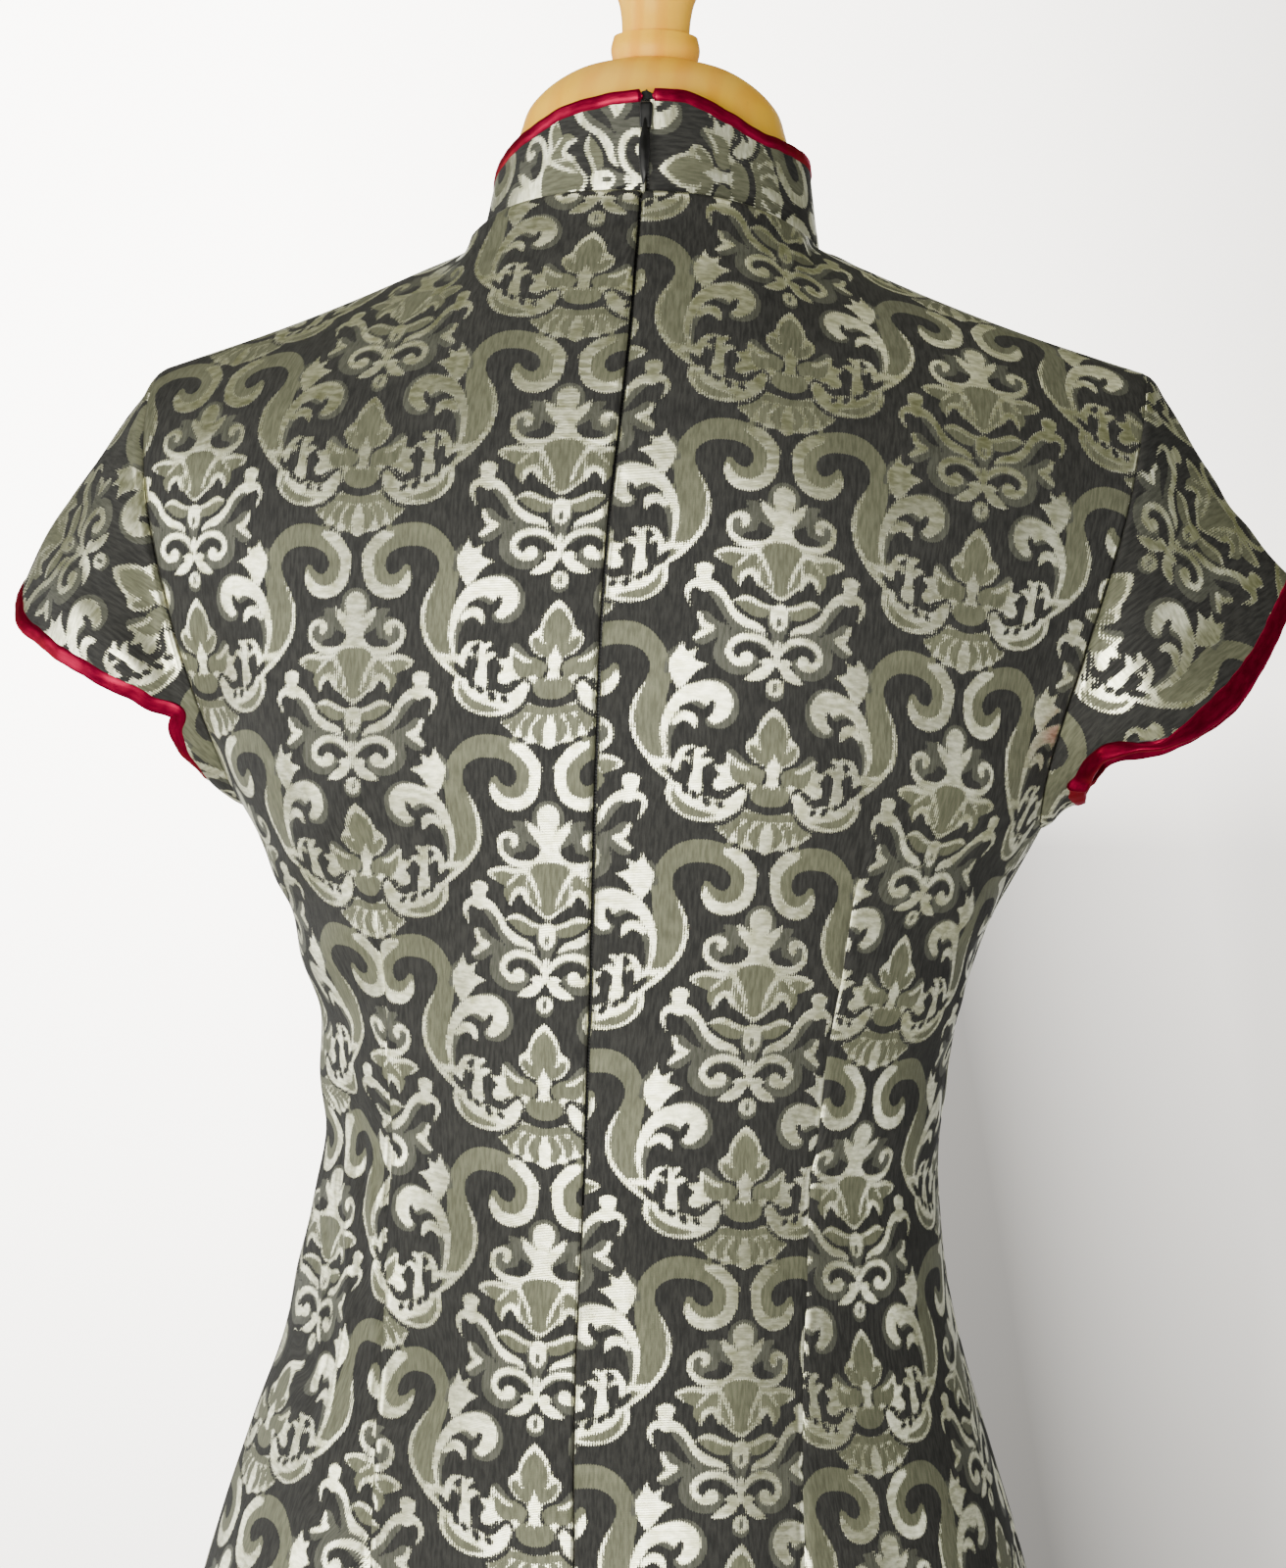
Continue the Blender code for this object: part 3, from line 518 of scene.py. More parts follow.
# each row: shape, level, then points (across, up, width) of a line, (across, up) of a leaf, (across, up, diameter) of dots
PALMETTE = (
    # S scroll with its spiral
    ("line", MID, ((37.5, -27.0, 1.6), (41.5, -20.0, 7.5), (45.2, -13.5, 11.0), (46.8, -7.5, 12.4), (46.2, -1.5, 11.8), (44.0, 4.5, 9.6), (42.6, 10.5, 7.8), (43.4, 16.2, 7.2), (46.4, 20.6, 7.6), (51.0, 23.6, 8.4), (56.4, 24.4, 8.8), (63.4, 23.4, 8.4), (69.8, 19.6, 8.2), (72.8, 13.2, 8.8), (71.0, 7.8, 9.0), (67.0, 4.8, 9.0), (62.8, 5.8, 7.8), (60.0, 8.9, 5.2), (59.4, 11.6, 3.0))),
    ("line", GREY, ((39.8, 12.0, 3.0), (38.4, 17.5, 3.0), (37.6, 20.8, 0.6))),
    ("line", LIGHT, ((38.4, -27.6, 1.6), (42.8, -24.0, 2.2), (47.2, -19.4, 2.0), (50.8, -14.0, 1.9), (52.3, -8.0, 1.8), (51.8, -2.0, 1.6), (49.8, 3.0, 1.2), (48.0, 6.4, 0.5))),
    ("line", LIGHT, ((36.4, -25.2, 1.4), (38.8, -21.4, 2.4), (41.4, -21.8, 2.6), (44.0, -20.6, 1.6))),
    ("line", LIGHT, ((66.4, 24.6, 3.2), (70.4, 22.6, 4.8), (74.6, 17.8, 4.6), (75.6, 12.2, 4.4), (73.4, 5.6, 4.6), (68.0, 2.6, 4.6), (62.4, 3.4, 4.4), (59.2, 7.0, 3.4), (58.6, 9.8, 1.6))),
    ("line", LIGHT, ((75.4, 18.6, 3.0), (78.2, 15.8, 0.5))),
    ("line", MID, ((67.6, 29.6, 0.6), (66.8, 26.6, 2.4))),
    # flame leaf on the scroll
    ("leaf", LIGHT, ((35.6, 5.4), (38.6, 10.4), (39.4, 15.6), (37.4, 18.6), (34.8, 23.8), (34.2, 21.2), (32.8, 19.0), (28.8, 21.2), (29.9, 18.6), (30.0, 16.6), (24.8, 14.8), (28.4, 12.8), (31.2, 9.6), (33.4, 6.6))),
    # comma leaf inside the scroll
    ("line", GREY, ((38.8, -19.0, 2.0), (39.6, -12.0, 4.6), (37.8, -5.4, 6.6), (33.6, 0.6, 7.4), (27.4, 4.2, 9.2), (21.2, 2.6, 14.4), (19.6, -1.8, 12.6), (22.4, -5.0, 6.4))),
    ("line", LIGHT, ((39.4, -20.4, 1.4), (40.6, -13.4, 2.4), (39.8, -7.0, 3.2), (37.2, -1.4, 4.4), (33.0, 3.2, 5.6), (27.4, 5.0, 7.0), (22.0, 3.8, 10.2), (19.8, 0.4, 9.4), (21.6, -4.0, 5.4))),
    ("line", 0, ((34.2, -1.6, 1.5), (30.8, -0.8, 2.3), (27.6, -2.8, 3.2), (24.4, -2.8, 3.0), (22.8, 0.2, 2.6), (22.6, 1.6, 1.2))),
    ("line", 0, ((36.6, -16.4, 0.8), (33.4, -12.4, 3.4), (31.0, -9.8, 5.2), (27.6, -6.6, 4.6), (25.8, -9.4, 3.2))),
    ("line", LIGHT, ((36.6, -6.8, 2.2), (33.4, -4.4, 3.2), (30.2, -5.0, 3.6), (28.6, -8.2, 1.4))),
    # horns of the crescent
    ("line", LIGHT, ((36.0, -24.6, 3.0), (35.2, -20.0, 2.6), (33.0, -16.6, 2.2), (30.6, -15.6, 0.8))),
    ("line", LIGHT, ((34.6, -19.6, 1.8), (31.8, -20.0, 1.4), (31.2, -21.6, 0.6))),
    ("line", LIGHT, ((28.2, -31.0, 6.0), (27.8, -24.6, 3.4), (28.2, -19.6, 2.8), (28.4, -16.4, 1.6), (30.0, -15.0, 0.5))),
    ("line", LIGHT, ((28.0, -18.6, 2.2), (25.6, -16.2, 1.8), (24.4, -16.6, 0.5))),
    ("line", LIGHT, ((27.6, -22.8, 2.6), (24.6, -20.4, 2.4), (22.0, -20.2, 0.5))),
    # crescent with its row of dots
    ("line", LIGHT, ((36.0, -28.6, 4.2), (35.0, -33.2, 7.4), (31.2, -36.8, 8.8), (25.6, -38.4, 9.6), (19.6, -38.2, 9.4), (14.6, -35.6, 8.2), (11.8, -32.2, 5.6), (10.6, -29.8, 3.0))),
    ("line", MID, ((36.2, -31.0, 1.0), (34.8, -35.2, 2.4), (30.8, -38.9, 3.2), (25.4, -40.6, 2.8), (20.2, -41.0, 1.0))),
    ("line", 0, ((38.0, -24.4, 2.2), (35.4, -27.4, 2.8), (34.0, -28.6, 1.6))),
    ("line", 0, ((32.2, -29.2, 2.4), (31.2, -31.8, 2.8))),
    ("line", 0, ((28.6, -32.8, 2.4), (27.6, -34.0, 2.4))),
    ("line", 0, ((23.8, -35.0, 2.6), (22.8, -36.6, 2.6))),
    ("line", 0, ((18.8, -36.4, 2.4), (17.6, -37.4, 2.2))),
    # side leaves and hooks
    ("leaf", GREY, ((8.0, -22.6), (11.4, -18.6), (14.6, -15.6), (17.0, -16.0), (16.6, -22.6), (13.0, -27.6), (8.0, -28.0))),
    ("leaf", LIGHT, ((10.4, -29.0), (12.2, -24.2), (15.6, -17.6), (17.6, -17.4), (17.4, -21.2), (19.4, -21.8), (22.0, -21.6), (20.6, -24.0), (18.8, -24.8), (20.4, -26.6), (21.6, -28.6), (20.6, -30.8), (17.4, -31.0), (15.0, -29.2), (13.2, -29.8))),
    ("leaf", MID, ((7.0, -21.4), (10.6, -20.6), (14.6, -18.2), (16.0, -19.6), (15.9, -23.0), (14.4, -27.0), (10.4, -28.8), (4.4, -28.2), (3.2, -24.0))),
    ("line", LIGHT, ((9.0, -22.6, 1.2), (12.0, -21.8, 1.8), (15.4, -19.0, 1.2))),
    ("leaf", LIGHT, ((4.8, -29.6), (7.4, -27.8), (10.6, -28.6), (9.8, -31.6), (7.6, -34.0), (6.0, -32.4))),
    # cup
    ("leaf", MID, ((-7.0, -30.6), (-4.0, -28.6), (0.0, -29.6), (4.0, -28.6), (7.0, -30.6), (7.2, -33.6), (4.6, -36.2), (0.0, -37.0), (-4.6, -36.2), (-7.2, -33.6))),
    # fan and its petals, parted from the cup by a dark line
    ("leaf", LIGHT, ((0.0, -40.2), (5.6, -39.2), (10.4, -37.4), (14.0, -41.6), (18.9, -44.4), (18.6, -46.4), (15.4, -48.8), (14.0, -50.6), (10.2, -51.4), (8.4, -53.2), (4.6, -53.4), (2.2, -54.4), (0.0, -55.6), (-2.2, -54.4), (-4.6, -53.4), (-8.4, -53.2), (-10.2, -51.4), (-14.0, -50.6), (-15.4, -48.8), (-18.6, -46.4), (-18.9, -44.4), (-14.0, -41.6), (-10.4, -37.4), (-5.6, -39.2))),
    ("line", MID, ((0.0, -41.6, 3.0), (5.2, -41.0, 3.2), (9.6, -40.6, 2.6), (13.0, -42.8, 1.8))),
    ("line", MID, ((2.5, -44.0, 2.6), (4.7, -48.4, 4.0), (3.4, -52.2, 2.4))),
    ("line", MID, ((6.8, -43.4, 2.4), (9.5, -47.0, 3.5), (9.3, -50.4, 2.2))),
    ("line", MID, ((10.8, -43.2, 2.2), (13.9, -46.2, 3.2), (14.0, -48.8, 1.8))),
    ("line", MID, ((14.2, -44.0, 1.6), (17.2, -45.6, 2.4))),
    ("line", 0, ((-9.6, -36.8, 1.4), (-5.0, -38.4, 1.9), (0.0, -39.1, 2.0), (5.0, -38.4, 1.9), (9.6, -36.8, 1.4))),
    # the dark round the crescent's inner end
    ("line", 0, ((23.6, -25.0, 2.4), (23.4, -29.4, 3.4), (20.4, -33.0, 3.0), (16.6, -33.4, 2.4), (13.8, -31.0, 2.0), (11.2, -29.2, 1.7), (9.0, -30.4, 1.6), (8.2, -33.4, 1.5), (9.4, -37.4, 1.6), (12.6, -41.2, 1.7), (16.4, -43.6, 1.5), (20.6, -44.6, 1.2))),
    # top leaf with its lobes, and the spear in it
    ("leaf", LIGHT, ((0.0, 0.8), (2.8, -1.8), (5.4, -5.8), (6.9, -10.4), (9.4, -12.2), (10.5, -14.8), (9.2, -17.4), (7.2, -19.8), (4.0, -21.0), (0.0, -21.6), (-4.0, -21.0), (-7.2, -19.8), (-9.2, -17.4), (-10.5, -14.8), (-9.4, -12.2), (-6.9, -10.4), (-5.4, -5.8), (-2.8, -1.8))),
    ("leaf", MID, ((0.0, -2.2), (3.0, -5.0), (5.2, -9.4), (5.4, -12.6), (7.0, -13.6), (8.9, -13.6), (9.0, -16.0), (6.4, -19.2), (3.0, -21.2), (0.0, -22.6), (-3.0, -21.2), (-6.4, -19.2), (-9.0, -16.0), (-8.9, -13.6), (-7.0, -13.6), (-5.4, -12.6), (-5.2, -9.4), (-3.0, -5.0))),
    ("line", LIGHT, ((6.0, -11.0, 1.3), (5.8, -14.2, 1.4), (4.4, -15.8, 0.7))),
    ("leaf", LIGHT, ((0.0, -16.2), (1.4, -19.6), (2.9, -22.6), (1.7, -25.8), (3.4, -30.0), (1.0, -29.0), (0.0, -30.2), (-1.0, -29.0), (-3.4, -30.0), (-1.7, -25.8), (-2.9, -22.6), (-1.4, -19.6))),
)
CROWN_V = -75.3  # the top of the crown's ball, under the palmette on the same line
CROWN = (
    # ball with its leaves and arms
    ("line", GREY, ((0.0, -5.8, 12.6), (0.0, -7.4, 12.0))),
    ("line", GREY, ((3.0, -15.6, 3.6), (7.6, -12.8, 4.4), (10.8, -9.4, 4.2), (14.4, -7.4, 0.6))),
    ("dot", GREY, ((14.6, -15.6, 10.6),)),
    ("line", 0, ((10.6, -19.6, 2.4), (13.6, -20.2, 2.2))),
    ("line", LIGHT, ((3.0, -22.6, 3.6), (9.4, -23.4, 3.0), (15.4, -22.6, 2.6), (19.6, -19.2, 2.2), (19.9, -14.6, 2.0), (16.8, -12.4, 2.0), (14.0, -13.8, 3.2), (14.6, -16.0, 2.6))),
    ("leaf", LIGHT, ((0.0, -1.0), (3.2, -2.4), (4.4, -5.6), (3.4, -9.4), (2.4, -11.2), (5.4, -10.0), (8.8, -6.8), (8.2, -10.4), (5.2, -14.4), (3.6, -16.6), (4.6, -19.6), (8.0, -22.4), (0.0, -24.0), (-8.0, -22.4), (-4.6, -19.6), (-3.6, -16.6), (-5.2, -14.4), (-8.2, -10.4), (-8.8, -6.8), (-5.4, -10.0), (-2.4, -11.2), (-3.4, -9.4), (-4.4, -5.6), (-3.2, -2.4))),
    ("line", LIGHT, ((2.8, -12.8, 2.8), (6.4, -9.6, 2.4), (9.0, -6.8, 0.6))),
    # wings
    ("leaf", MID, ((7.0, -24.0), (14.4, -25.4), (19.0, -25.0), (25.0, -27.4), (21.4, -30.2), (17.6, -31.8), (18.4, -34.6), (16.0, -38.6), (14.4, -34.4), (11.4, -33.2), (8.6, -36.4), (4.0, -36.0))),
    ("line", LIGHT, ((8.0, -25.2, 2.2), (14.6, -26.0, 2.0), (19.4, -25.4, 1.8), (24.6, -27.2, 1.4), (21.6, -29.8, 0.8))),
    ("line", LIGHT, ((15.4, -38.4, 1.0), (14.2, -34.6, 2.2), (11.2, -32.8, 2.2), (9.0, -35.4, 2.2), (8.2, -38.0, 0.9))),
    ("line", LIGHT, ((12.6, -27.4, 1.0), (15.4, -29.8, 1.4), (17.0, -31.6, 0.6))),
    # shield
    ("leaf", LIGHT, ((0.0, -22.4), (6.6, -23.4), (8.8, -27.2), (8.9, -31.8), (8.4, -36.4), (4.8, -40.2), (0.0, -43.2), (-4.8, -40.2), (-8.4, -36.4), (-8.9, -31.8), (-8.8, -27.2), (-6.6, -23.4))),
    ("leaf", MID, ((0.0, -22.0), (5.4, -22.8), (8.4, -26.2), (8.0, -32.0), (7.0, -36.6), (3.2, -40.0), (0.0, -41.8), (-3.2, -40.0), (-7.0, -36.6), (-8.0, -32.0), (-8.4, -26.2), (-5.4, -22.8))),
    ("line", LIGHT, ((9.4, -25.4, 2.2), (7.2, -28.4, 1.8), (5.0, -32.6, 1.6), (3.8, -36.4, 1.5), (2.8, -38.4, 0.7))),
    # bow leaves and bud
    ("leaf", MID, ((0.0, -45.8), (5.0, -44.4), (10.2, -42.0), (13.4, -41.6), (17.0, -43.8), (13.6, -46.8), (9.6, -49.2), (6.0, -49.6), (0.0, -50.0))),
    ("line", LIGHT, ((2.4, -46.0, 1.2), (6.4, -45.2, 1.6), (10.2, -43.4, 1.8), (13.4, -42.8, 1.8), (16.4, -43.8, 0.8))),
    ("dot", 0, ((0.0, -50.2, 9.4),)),
    ("line", GREY, ((0.0, -49.4, 8.6), (0.0, -51.6, 8.0), (0.0, -55.2, 4.4), (0.0, -59.0, 3.0))),
    ("line", LIGHT, ((0.0, -47.8, 6.8), (0.0, -50.4, 6.6), (0.0, -52.4, 4.0))),
    ("line", GREY, ((0.0, -50.0, 1.7), (0.0, -52.0, 1.7))),
    # T-headed arms
    ("line", GREY, ((6.0, -56.6, 3.0), (11.6, -54.4, 4.6), (16.8, -50.6, 4.8), (21.6, -44.6, 4.0), (24.8, -41.6, 3.0))),
    ("leaf", LIGHT, ((25.4, -31.8), (28.6, -30.6), (32.0, -32.0), (31.4, -35.2), (30.2, -37.4), (32.4, -38.4), (28.2, -41.4), (24.2, -39.4), (26.2, -36.6), (25.2, -34.0))),
    ("line", LIGHT, ((28.6, -38.4, 3.6), (32.6, -38.8, 2.6), (34.4, -42.0, 2.0), (32.6, -46.8, 0.7))),
    ("line", LIGHT, ((28.0, -38.4, 4.2), (23.8, -39.6, 3.4), (20.0, -43.4, 2.6), (17.4, -47.8, 2.8), (12.8, -51.4, 3.4), (7.6, -53.2, 2.8), (4.8, -55.0, 1.0))),
    # lower scrolls with their small leaves
    ("line", GREY, ((2.6, -60.4, 3.2), (7.6, -57.6, 6.2), (13.6, -57.4, 7.6), (18.2, -59.8, 8.2), (19.4, -64.0, 7.6), (16.0, -67.4, 6.2), (11.4, -68.0, 5.0), (8.8, -65.4, 4.6))),
    ("dot", 0, ((12.4, -62.4, 6.6),)),
    ("line", LIGHT, ((0.8, -62.6, 1.8), (3.8, -58.8, 2.2), (8.0, -56.9, 2.4), (13.2, -57.0, 2.6), (17.0, -59.6, 2.6), (17.6, -63.2, 2.6), (14.6, -66.0, 2.8), (11.4, -65.6, 3.6))),
    ("dot", LIGHT, ((11.0, -64.6, 5.2),)),
    ("line", 0, ((4.4, -62.0, 1.4), (8.6, -59.8, 2.0), (12.6, -60.2, 2.4), (14.8, -62.2, 1.6))),
    ("leaf", GREY, ((18.0, -53.4), (22.6, -51.6), (26.4, -48.4), (29.6, -48.6), (27.6, -52.6), (30.8, -57.2), (30.2, -60.4), (26.4, -60.6), (22.4, -57.6), (18.6, -57.8))),
    ("line", LIGHT, ((29.4, -49.4, 1.8), (27.8, -53.0, 2.4), (24.2, -54.4, 2.0))),
    ("line", LIGHT, ((24.4, -54.8, 1.6), (27.6, -56.4, 2.4), (30.4, -58.4, 1.6))),
    # bottom flower
    ("line", LIGHT, ((0.0, -58.6, 2.0), (0.0, -66.0, 2.2))),
    ("leaf", LIGHT, ((0.6, -65.0), (3.8, -64.0), (6.4, -65.6), (4.6, -66.8), (8.4, -69.4), (11.8, -72.4), (7.4, -72.6), (3.6, -71.2), (1.2, -68.2))),
    ("dot", GREY, ((0.0, -76.0, 7.4),)),
    ("dot", LIGHT, ((0.0, -74.8, 6.4),)),
    ("line", GREY, ((0.0, -73.8, 1.6), (0.0, -75.6, 1.8))),
)


def curve_through(points, per=5):
    p = np.array(points, float)
    out = []
    for i in range(len(p) - 1):
        a, b = p[i], p[i + 1]
        before = p[i - 1] if i else 2 * a - b
        after = p[i + 2] if i + 2 < len(p) else 2 * b - a
        for k in range(per):
            t = k / per
            out.append(0.5 * (2 * a + (b - before) * t + (2 * before - 5 * a + 4 * b - after) * t * t + (3 * a - before - 3 * b + after) * t**3))
    return np.array(out + [p[-1]])


def leaf_outline(points, per=4):
    """Rounded between its points, and sharp where it turns hard."""
    p = np.array(points, float)
    n = len(p)

    def hard(i):
        a, b = p[i % n] - p[i % n - 1], p[(i + 1) % n] - p[i % n]
        return (a @ b) < 0.25 * np.linalg.norm(a) * np.linalg.norm(b)

    out = []
    for i in range(n):
        a, b = p[i], p[(i + 1) % n]
        before = 2 * a - b if hard(i) else p[i - 1]
        after = 2 * b - a if hard(i + 1) else p[(i + 2) % n]
        for k in range(per):
            t = k / per
            out.append(0.5 * (2 * a + (b - before) * t + (2 * before - 5 * a + 4 * b - after) * t * t + (3 * a - before - 3 * b + after) * t**3))
    out = np.array(out)
    return np.concatenate([out, np.zeros((len(out), 1))], 1)


def line_distance(U, V, line):
    best = np.full(U.shape, 1e3)
    for a, b in zip(line, line[1:]):
        du, dv = b[0] - a[0], b[1] - a[1]
        t = np.clip(((U - a[0]) * du + (V - a[1]) * dv) / max(du * du + dv * dv, 1e-9), 0, 1)
        r = 0.5 * (a[2] + (b[2] - a[2]) * t)
        best = np.minimum(best, np.hypot(U - a[0] - du * t, V - a[1] - dv * t) - r)
    return best


def leaf_distance(U, V, line):
    best, inside = np.full(U.shape, 1e6), np.zeros(U.shape, bool)
    n = len(line)
    for i in range(n):
        a, b = line[i], line[(i + 1) % n]
        du, dv = b[0] - a[0], b[1] - a[1]
        t = np.clip(((U - a[0]) * du + (V - a[1]) * dv) / max(du * du + dv * dv, 1e-9), 0, 1)
        best = np.minimum(best, (U - a[0] - du * t) ** 2 + (V - a[1] - dv * t) ** 2)
        if abs(dv) > 1e-9:
            inside ^= ((a[1] > V) != (b[1] > V)) & (U < a[0] + (V - a[1]) * du / dv)
    return np.where(inside, -1.0, 1.0) * np.sqrt(best)


def draw_repeat():
    """Three fields over one repeat: how many mm outside the grey, the mid and the light shapes each place is."""
    u = np.arange(int(round(REPEAT_U / CHART_STEP)) + 1) * CHART_STEP
    v = np.arange(int(round(REPEAT_V / CHART_STEP))) * CHART_STEP
    fields = np.full((3, len(v), len(u)), 4.0)
    for base, group in ((0.0, PALMETTE), (CROWN_V, CROWN)):
        for kind, level, rows in group:
            for part in [[r] for r in rows] if kind == "dot" else [rows]:
                if kind == "leaf":
                    line = leaf_outline(part)
                elif kind == "line":
                    line = curve_through(part)
                else:
                    line = np.array([part[0], part[0]], float)
                line[:, 1] += base
                reach = 2.6 + line[:, 2].max() / 2
                for glide in (0, 1):
                    for mirror in (1, -1):
                        for turn in (-1, 0, 1, 2):
                            at = line.copy()
                            at[:, 0] *= mirror
                            if glide:
                                at[:, 0] = REPEAT_U - at[:, 0]
                                at[:, 1] += REPEAT_V / 2
                            at[:, 1] += turn * REPEAT_V
                            i0, i1 = np.searchsorted(u, [at[:, 0].min() - reach, at[:, 0].max() + reach])
                            j0, j1 = np.searchsorted(v, [at[:, 1].min() - reach, at[:, 1].max() + reach])
                            if i1 <= i0 or j1 <= j0:
                                continue
                            U, V = np.meshgrid(u[i0:i1], v[j0:j1])
                            d = (leaf_distance if kind == "leaf" else line_distance)(U, V, at)
                            for k in range(3):
                                f = fields[k, j0:j1, i0:i1]
                                if level > k:
                                    np.minimum(f, d, out=f)
                                else:
                                    np.maximum(f, -d, out=f)
    return np.clip(fields, -2.5, 2.5)


REPEAT = draw_repeat()


def figure(u, v):
    """The three fields at places on the cloth, in mm from a palmette's apex."""
    u = np.abs((u + REPEAT_U) % (2 * REPEAT_U) - REPEAT_U)
    i = np.clip(u / CHART_STEP, 0, REPEAT.shape[2] - 1.001)
    j = (v % REPEAT_V) / CHART_STEP % REPEAT.shape[1]
    i0, j0 = i.astype(int), np.minimum(j.astype(int), REPEAT.shape[1] - 1)
    j1 = (j0 + 1) % REPEAT.shape[1]
    a, b = i - i0, j - j0
    g = REPEAT
    return (g[:, j0, i0] * (1 - a) + g[:, j0, i0 + 1] * a) * (1 - b) + (
        g[:, j1, i0] * (1 - a) + g[:, j1, i0 + 1] * a
    ) * b


# ---------------------------------------------------------------- pieces from grids
def cloth_mesh(name, blocks, bake=(1, 1)):
    """One mesh from grids: each block is (points, cloth places in mm, outward); equal points of different blocks are
    kept apart here.
    bake is how many strips across and up the baked picture the cloth is cut into."""
    points, uvs, faces, face_uv = [], [], [], []
    count = 0
    for p, uv, outward in blocks:
        rows, columns = p.shape[:2]
        index = count + np.arange(rows * columns).reshape(rows, columns)
        quads = np.stack([index[:-1, :-1], index[:-1, 1:], index[1:, 1:], index[1:, :-1]], -1).reshape(-1, 4)
        n = np.cross(p[:-1, 1:] - p[:-1, :-1], p[1:, :-1] - p[:-1, :-1])
        if (n * outward(p[:-1, :-1])).sum() < 0:
            quads = quads[:, ::-1]
        faces.append(quads)
        points.append(p.reshape(-1, 3))
        uvs.append(uv.reshape(-1, 2))
        count += rows * columns
    points, uvs, faces = np.concatenate(points), np.concatenate(uvs), np.concatenate(faces)
    mesh = bpy.data.meshes.new(name)
    mesh.vertices.add(len(points))
    mesh.vertices.foreach_set("co", points.astype(np.float32).ravel())
    mesh.loops.add(faces.size)
    mesh.loops.foreach_set("vertex_index", faces.ravel().astype(np.int32))
    mesh.polygons.add(len(faces))
    mesh.polygons.foreach_set("loop_start", (np.arange(len(faces)) * 4).astype(np.int32))
    mesh.update(calc_edges=True)
    fields = figure(uvs[:, 0], uvs[:, 1])
    for key, values in zip(("figure_grey", "figure_mid", "figure_light"), fields):
        mesh.attributes.new(key, "FLOAT", "POINT").data.foreach_set("value", values.astype(np.float32))
    at = uvs[faces.ravel()]
    mesh.uv_layers.new(name="cloth").uv.foreach_set("vector", (at / 1000).astype(np.float32).ravel())
    # the baked picture: the cloth's places cut into level strips set side by side
    low, high = uvs.min(0), uvs.max(0)
    across, up = bake
    strips = across * up
    middle = uvs[faces].mean(1)
    height = (high[1] - low[1]) / strips * 1.0001
    strip = np.clip(((middle[:, 1] - low[1]) / height).astype(int), 0, strips - 1).repeat(4)
    x = (at[:, 0] - low[0]) / (high[0] - low[0])
    y = (at[:, 1] - low[1] - strip * height) / height
    margin = 0.012
    x = (strip % across + margin + x * (1 - 2 * margin)) / across
    y = (strip // across + 2 * margin + y * (1 - 4 * margin)) / up
    mesh.uv_layers.new(name="OFBake").uv.foreach_set("vector", np.stack([x, y], 1).astype(np.float32).ravel())
    mesh.uv_layers.active = mesh.uv_layers["cloth"]
    mesh.polygons.foreach_set("use_smooth", np.ones(len(faces), bool))
    mesh.update()
    ob = bpy.data.objects.new(name, mesh)
    bpy.context.scene.collection.objects.link(ob)
    return ob


def weld(ob, distance=2e-5, keep=None):
    """Join equal points; keep says which points may join."""
    bm = bmesh.new()
    bm.from_mesh(ob.data)
    verts = [v for v in bm.verts if keep is None or keep(v.co)]
    bmesh.ops.remove_doubles(bm, verts=verts, dist=distance)
    bm.to_mesh(ob.data)
    bm.free()


# ---------------------------------------------------------------- materials
def material(name):
    m = bpy.data.materials.new(name)
    m.use_nodes = True
    nodes, links = m.node_tree.nodes, m.node_tree.links
    shader = nodes["Principled BSDF"]

    def node(kind, inputs=None, **settings):
        n = nodes.new(kind)
        for key, value in settings.items():
            setattr(n, key, value)
        for key, value in (inputs or {}).items():
            socket = n.inputs[key]
            if isinstance(value, bpy.types.NodeSocket):
                links.new(value, socket)
            else:
                socket.default_value = value
        return n

    def math_node(kind, a, b=None, c=None, clamp=False):
        n = nodes.new("ShaderNodeMath")
        n.operation = kind
        n.use_clamp = clamp
        for k, value in enumerate((a, b, c)):
            if value is None:
                continue
            if isinstance(value, bpy.types.NodeSocket):
                links.new(value, n.inputs[k])
            else:
                n.inputs[k].default_value = value
        return n.outputs[0]

    def mix(share, a, b):
        n = nodes.new("ShaderNodeMix")
        n.data_type = "RGBA"
        for key, value in (("Factor", share), ("A", a), ("B", b)):
            socket = next(s for s in n.inputs if s.name == key and (key == "Factor" and s.type == "VALUE" or s.type == "RGBA"))
            if isinstance(value, bpy.types.NodeSocket):
                links.new(value, socket)
            else:
                socket.default_value = value if key == "Factor" else (*value, 1.0)
        return next(s for s in n.outputs if s.type == "RGBA")

    def ramp(value, low, high, a=0.0, b=1.0, smooth_step=True):
        n = nodes.new("ShaderNodeMapRange")
        n.interpolation_type = "SMOOTHSTEP" if smooth_step else "LINEAR"
        links.new(value, n.inputs[0])
        for k, x in zip((1, 2, 3, 4), (low, high, a, b)):
            if isinstance(x, bpy.types.NodeSocket):
                links.new(x, n.inputs[k])
            else:
                n.inputs[k].default_value = x
        return n.outputs[0]

    def place(scale, source=None, uv=None):
        if uv:
            source = node("ShaderNodeUVMap", uv_map=uv).outputs[0]
        elif source is None:
            source = node("ShaderNodeTexCoord").outputs["Object"]
        n = node("ShaderNodeMapping", {"Vector": source})
        n.inputs["Scale"].default_value = scale
        return n.outputs[0]

    def noise(vector, scale, detail=2.0, rough=0.5):
        return node("ShaderNodeTexNoise", {"Vector": vector, "Scale": scale, "Detail": detail, "Roughness": rough}).outputs[0]

    def bump(height, strength, distance, under=None):
        inputs = {"Height": height, "Strength": strength, "Distance": distance}
        if under is not None:
            inputs["Normal"] = under
        return node("ShaderNodeBump", inputs).outputs[0]

    return m, shader, links, node, math_node, mix, ramp, place, noise, bump


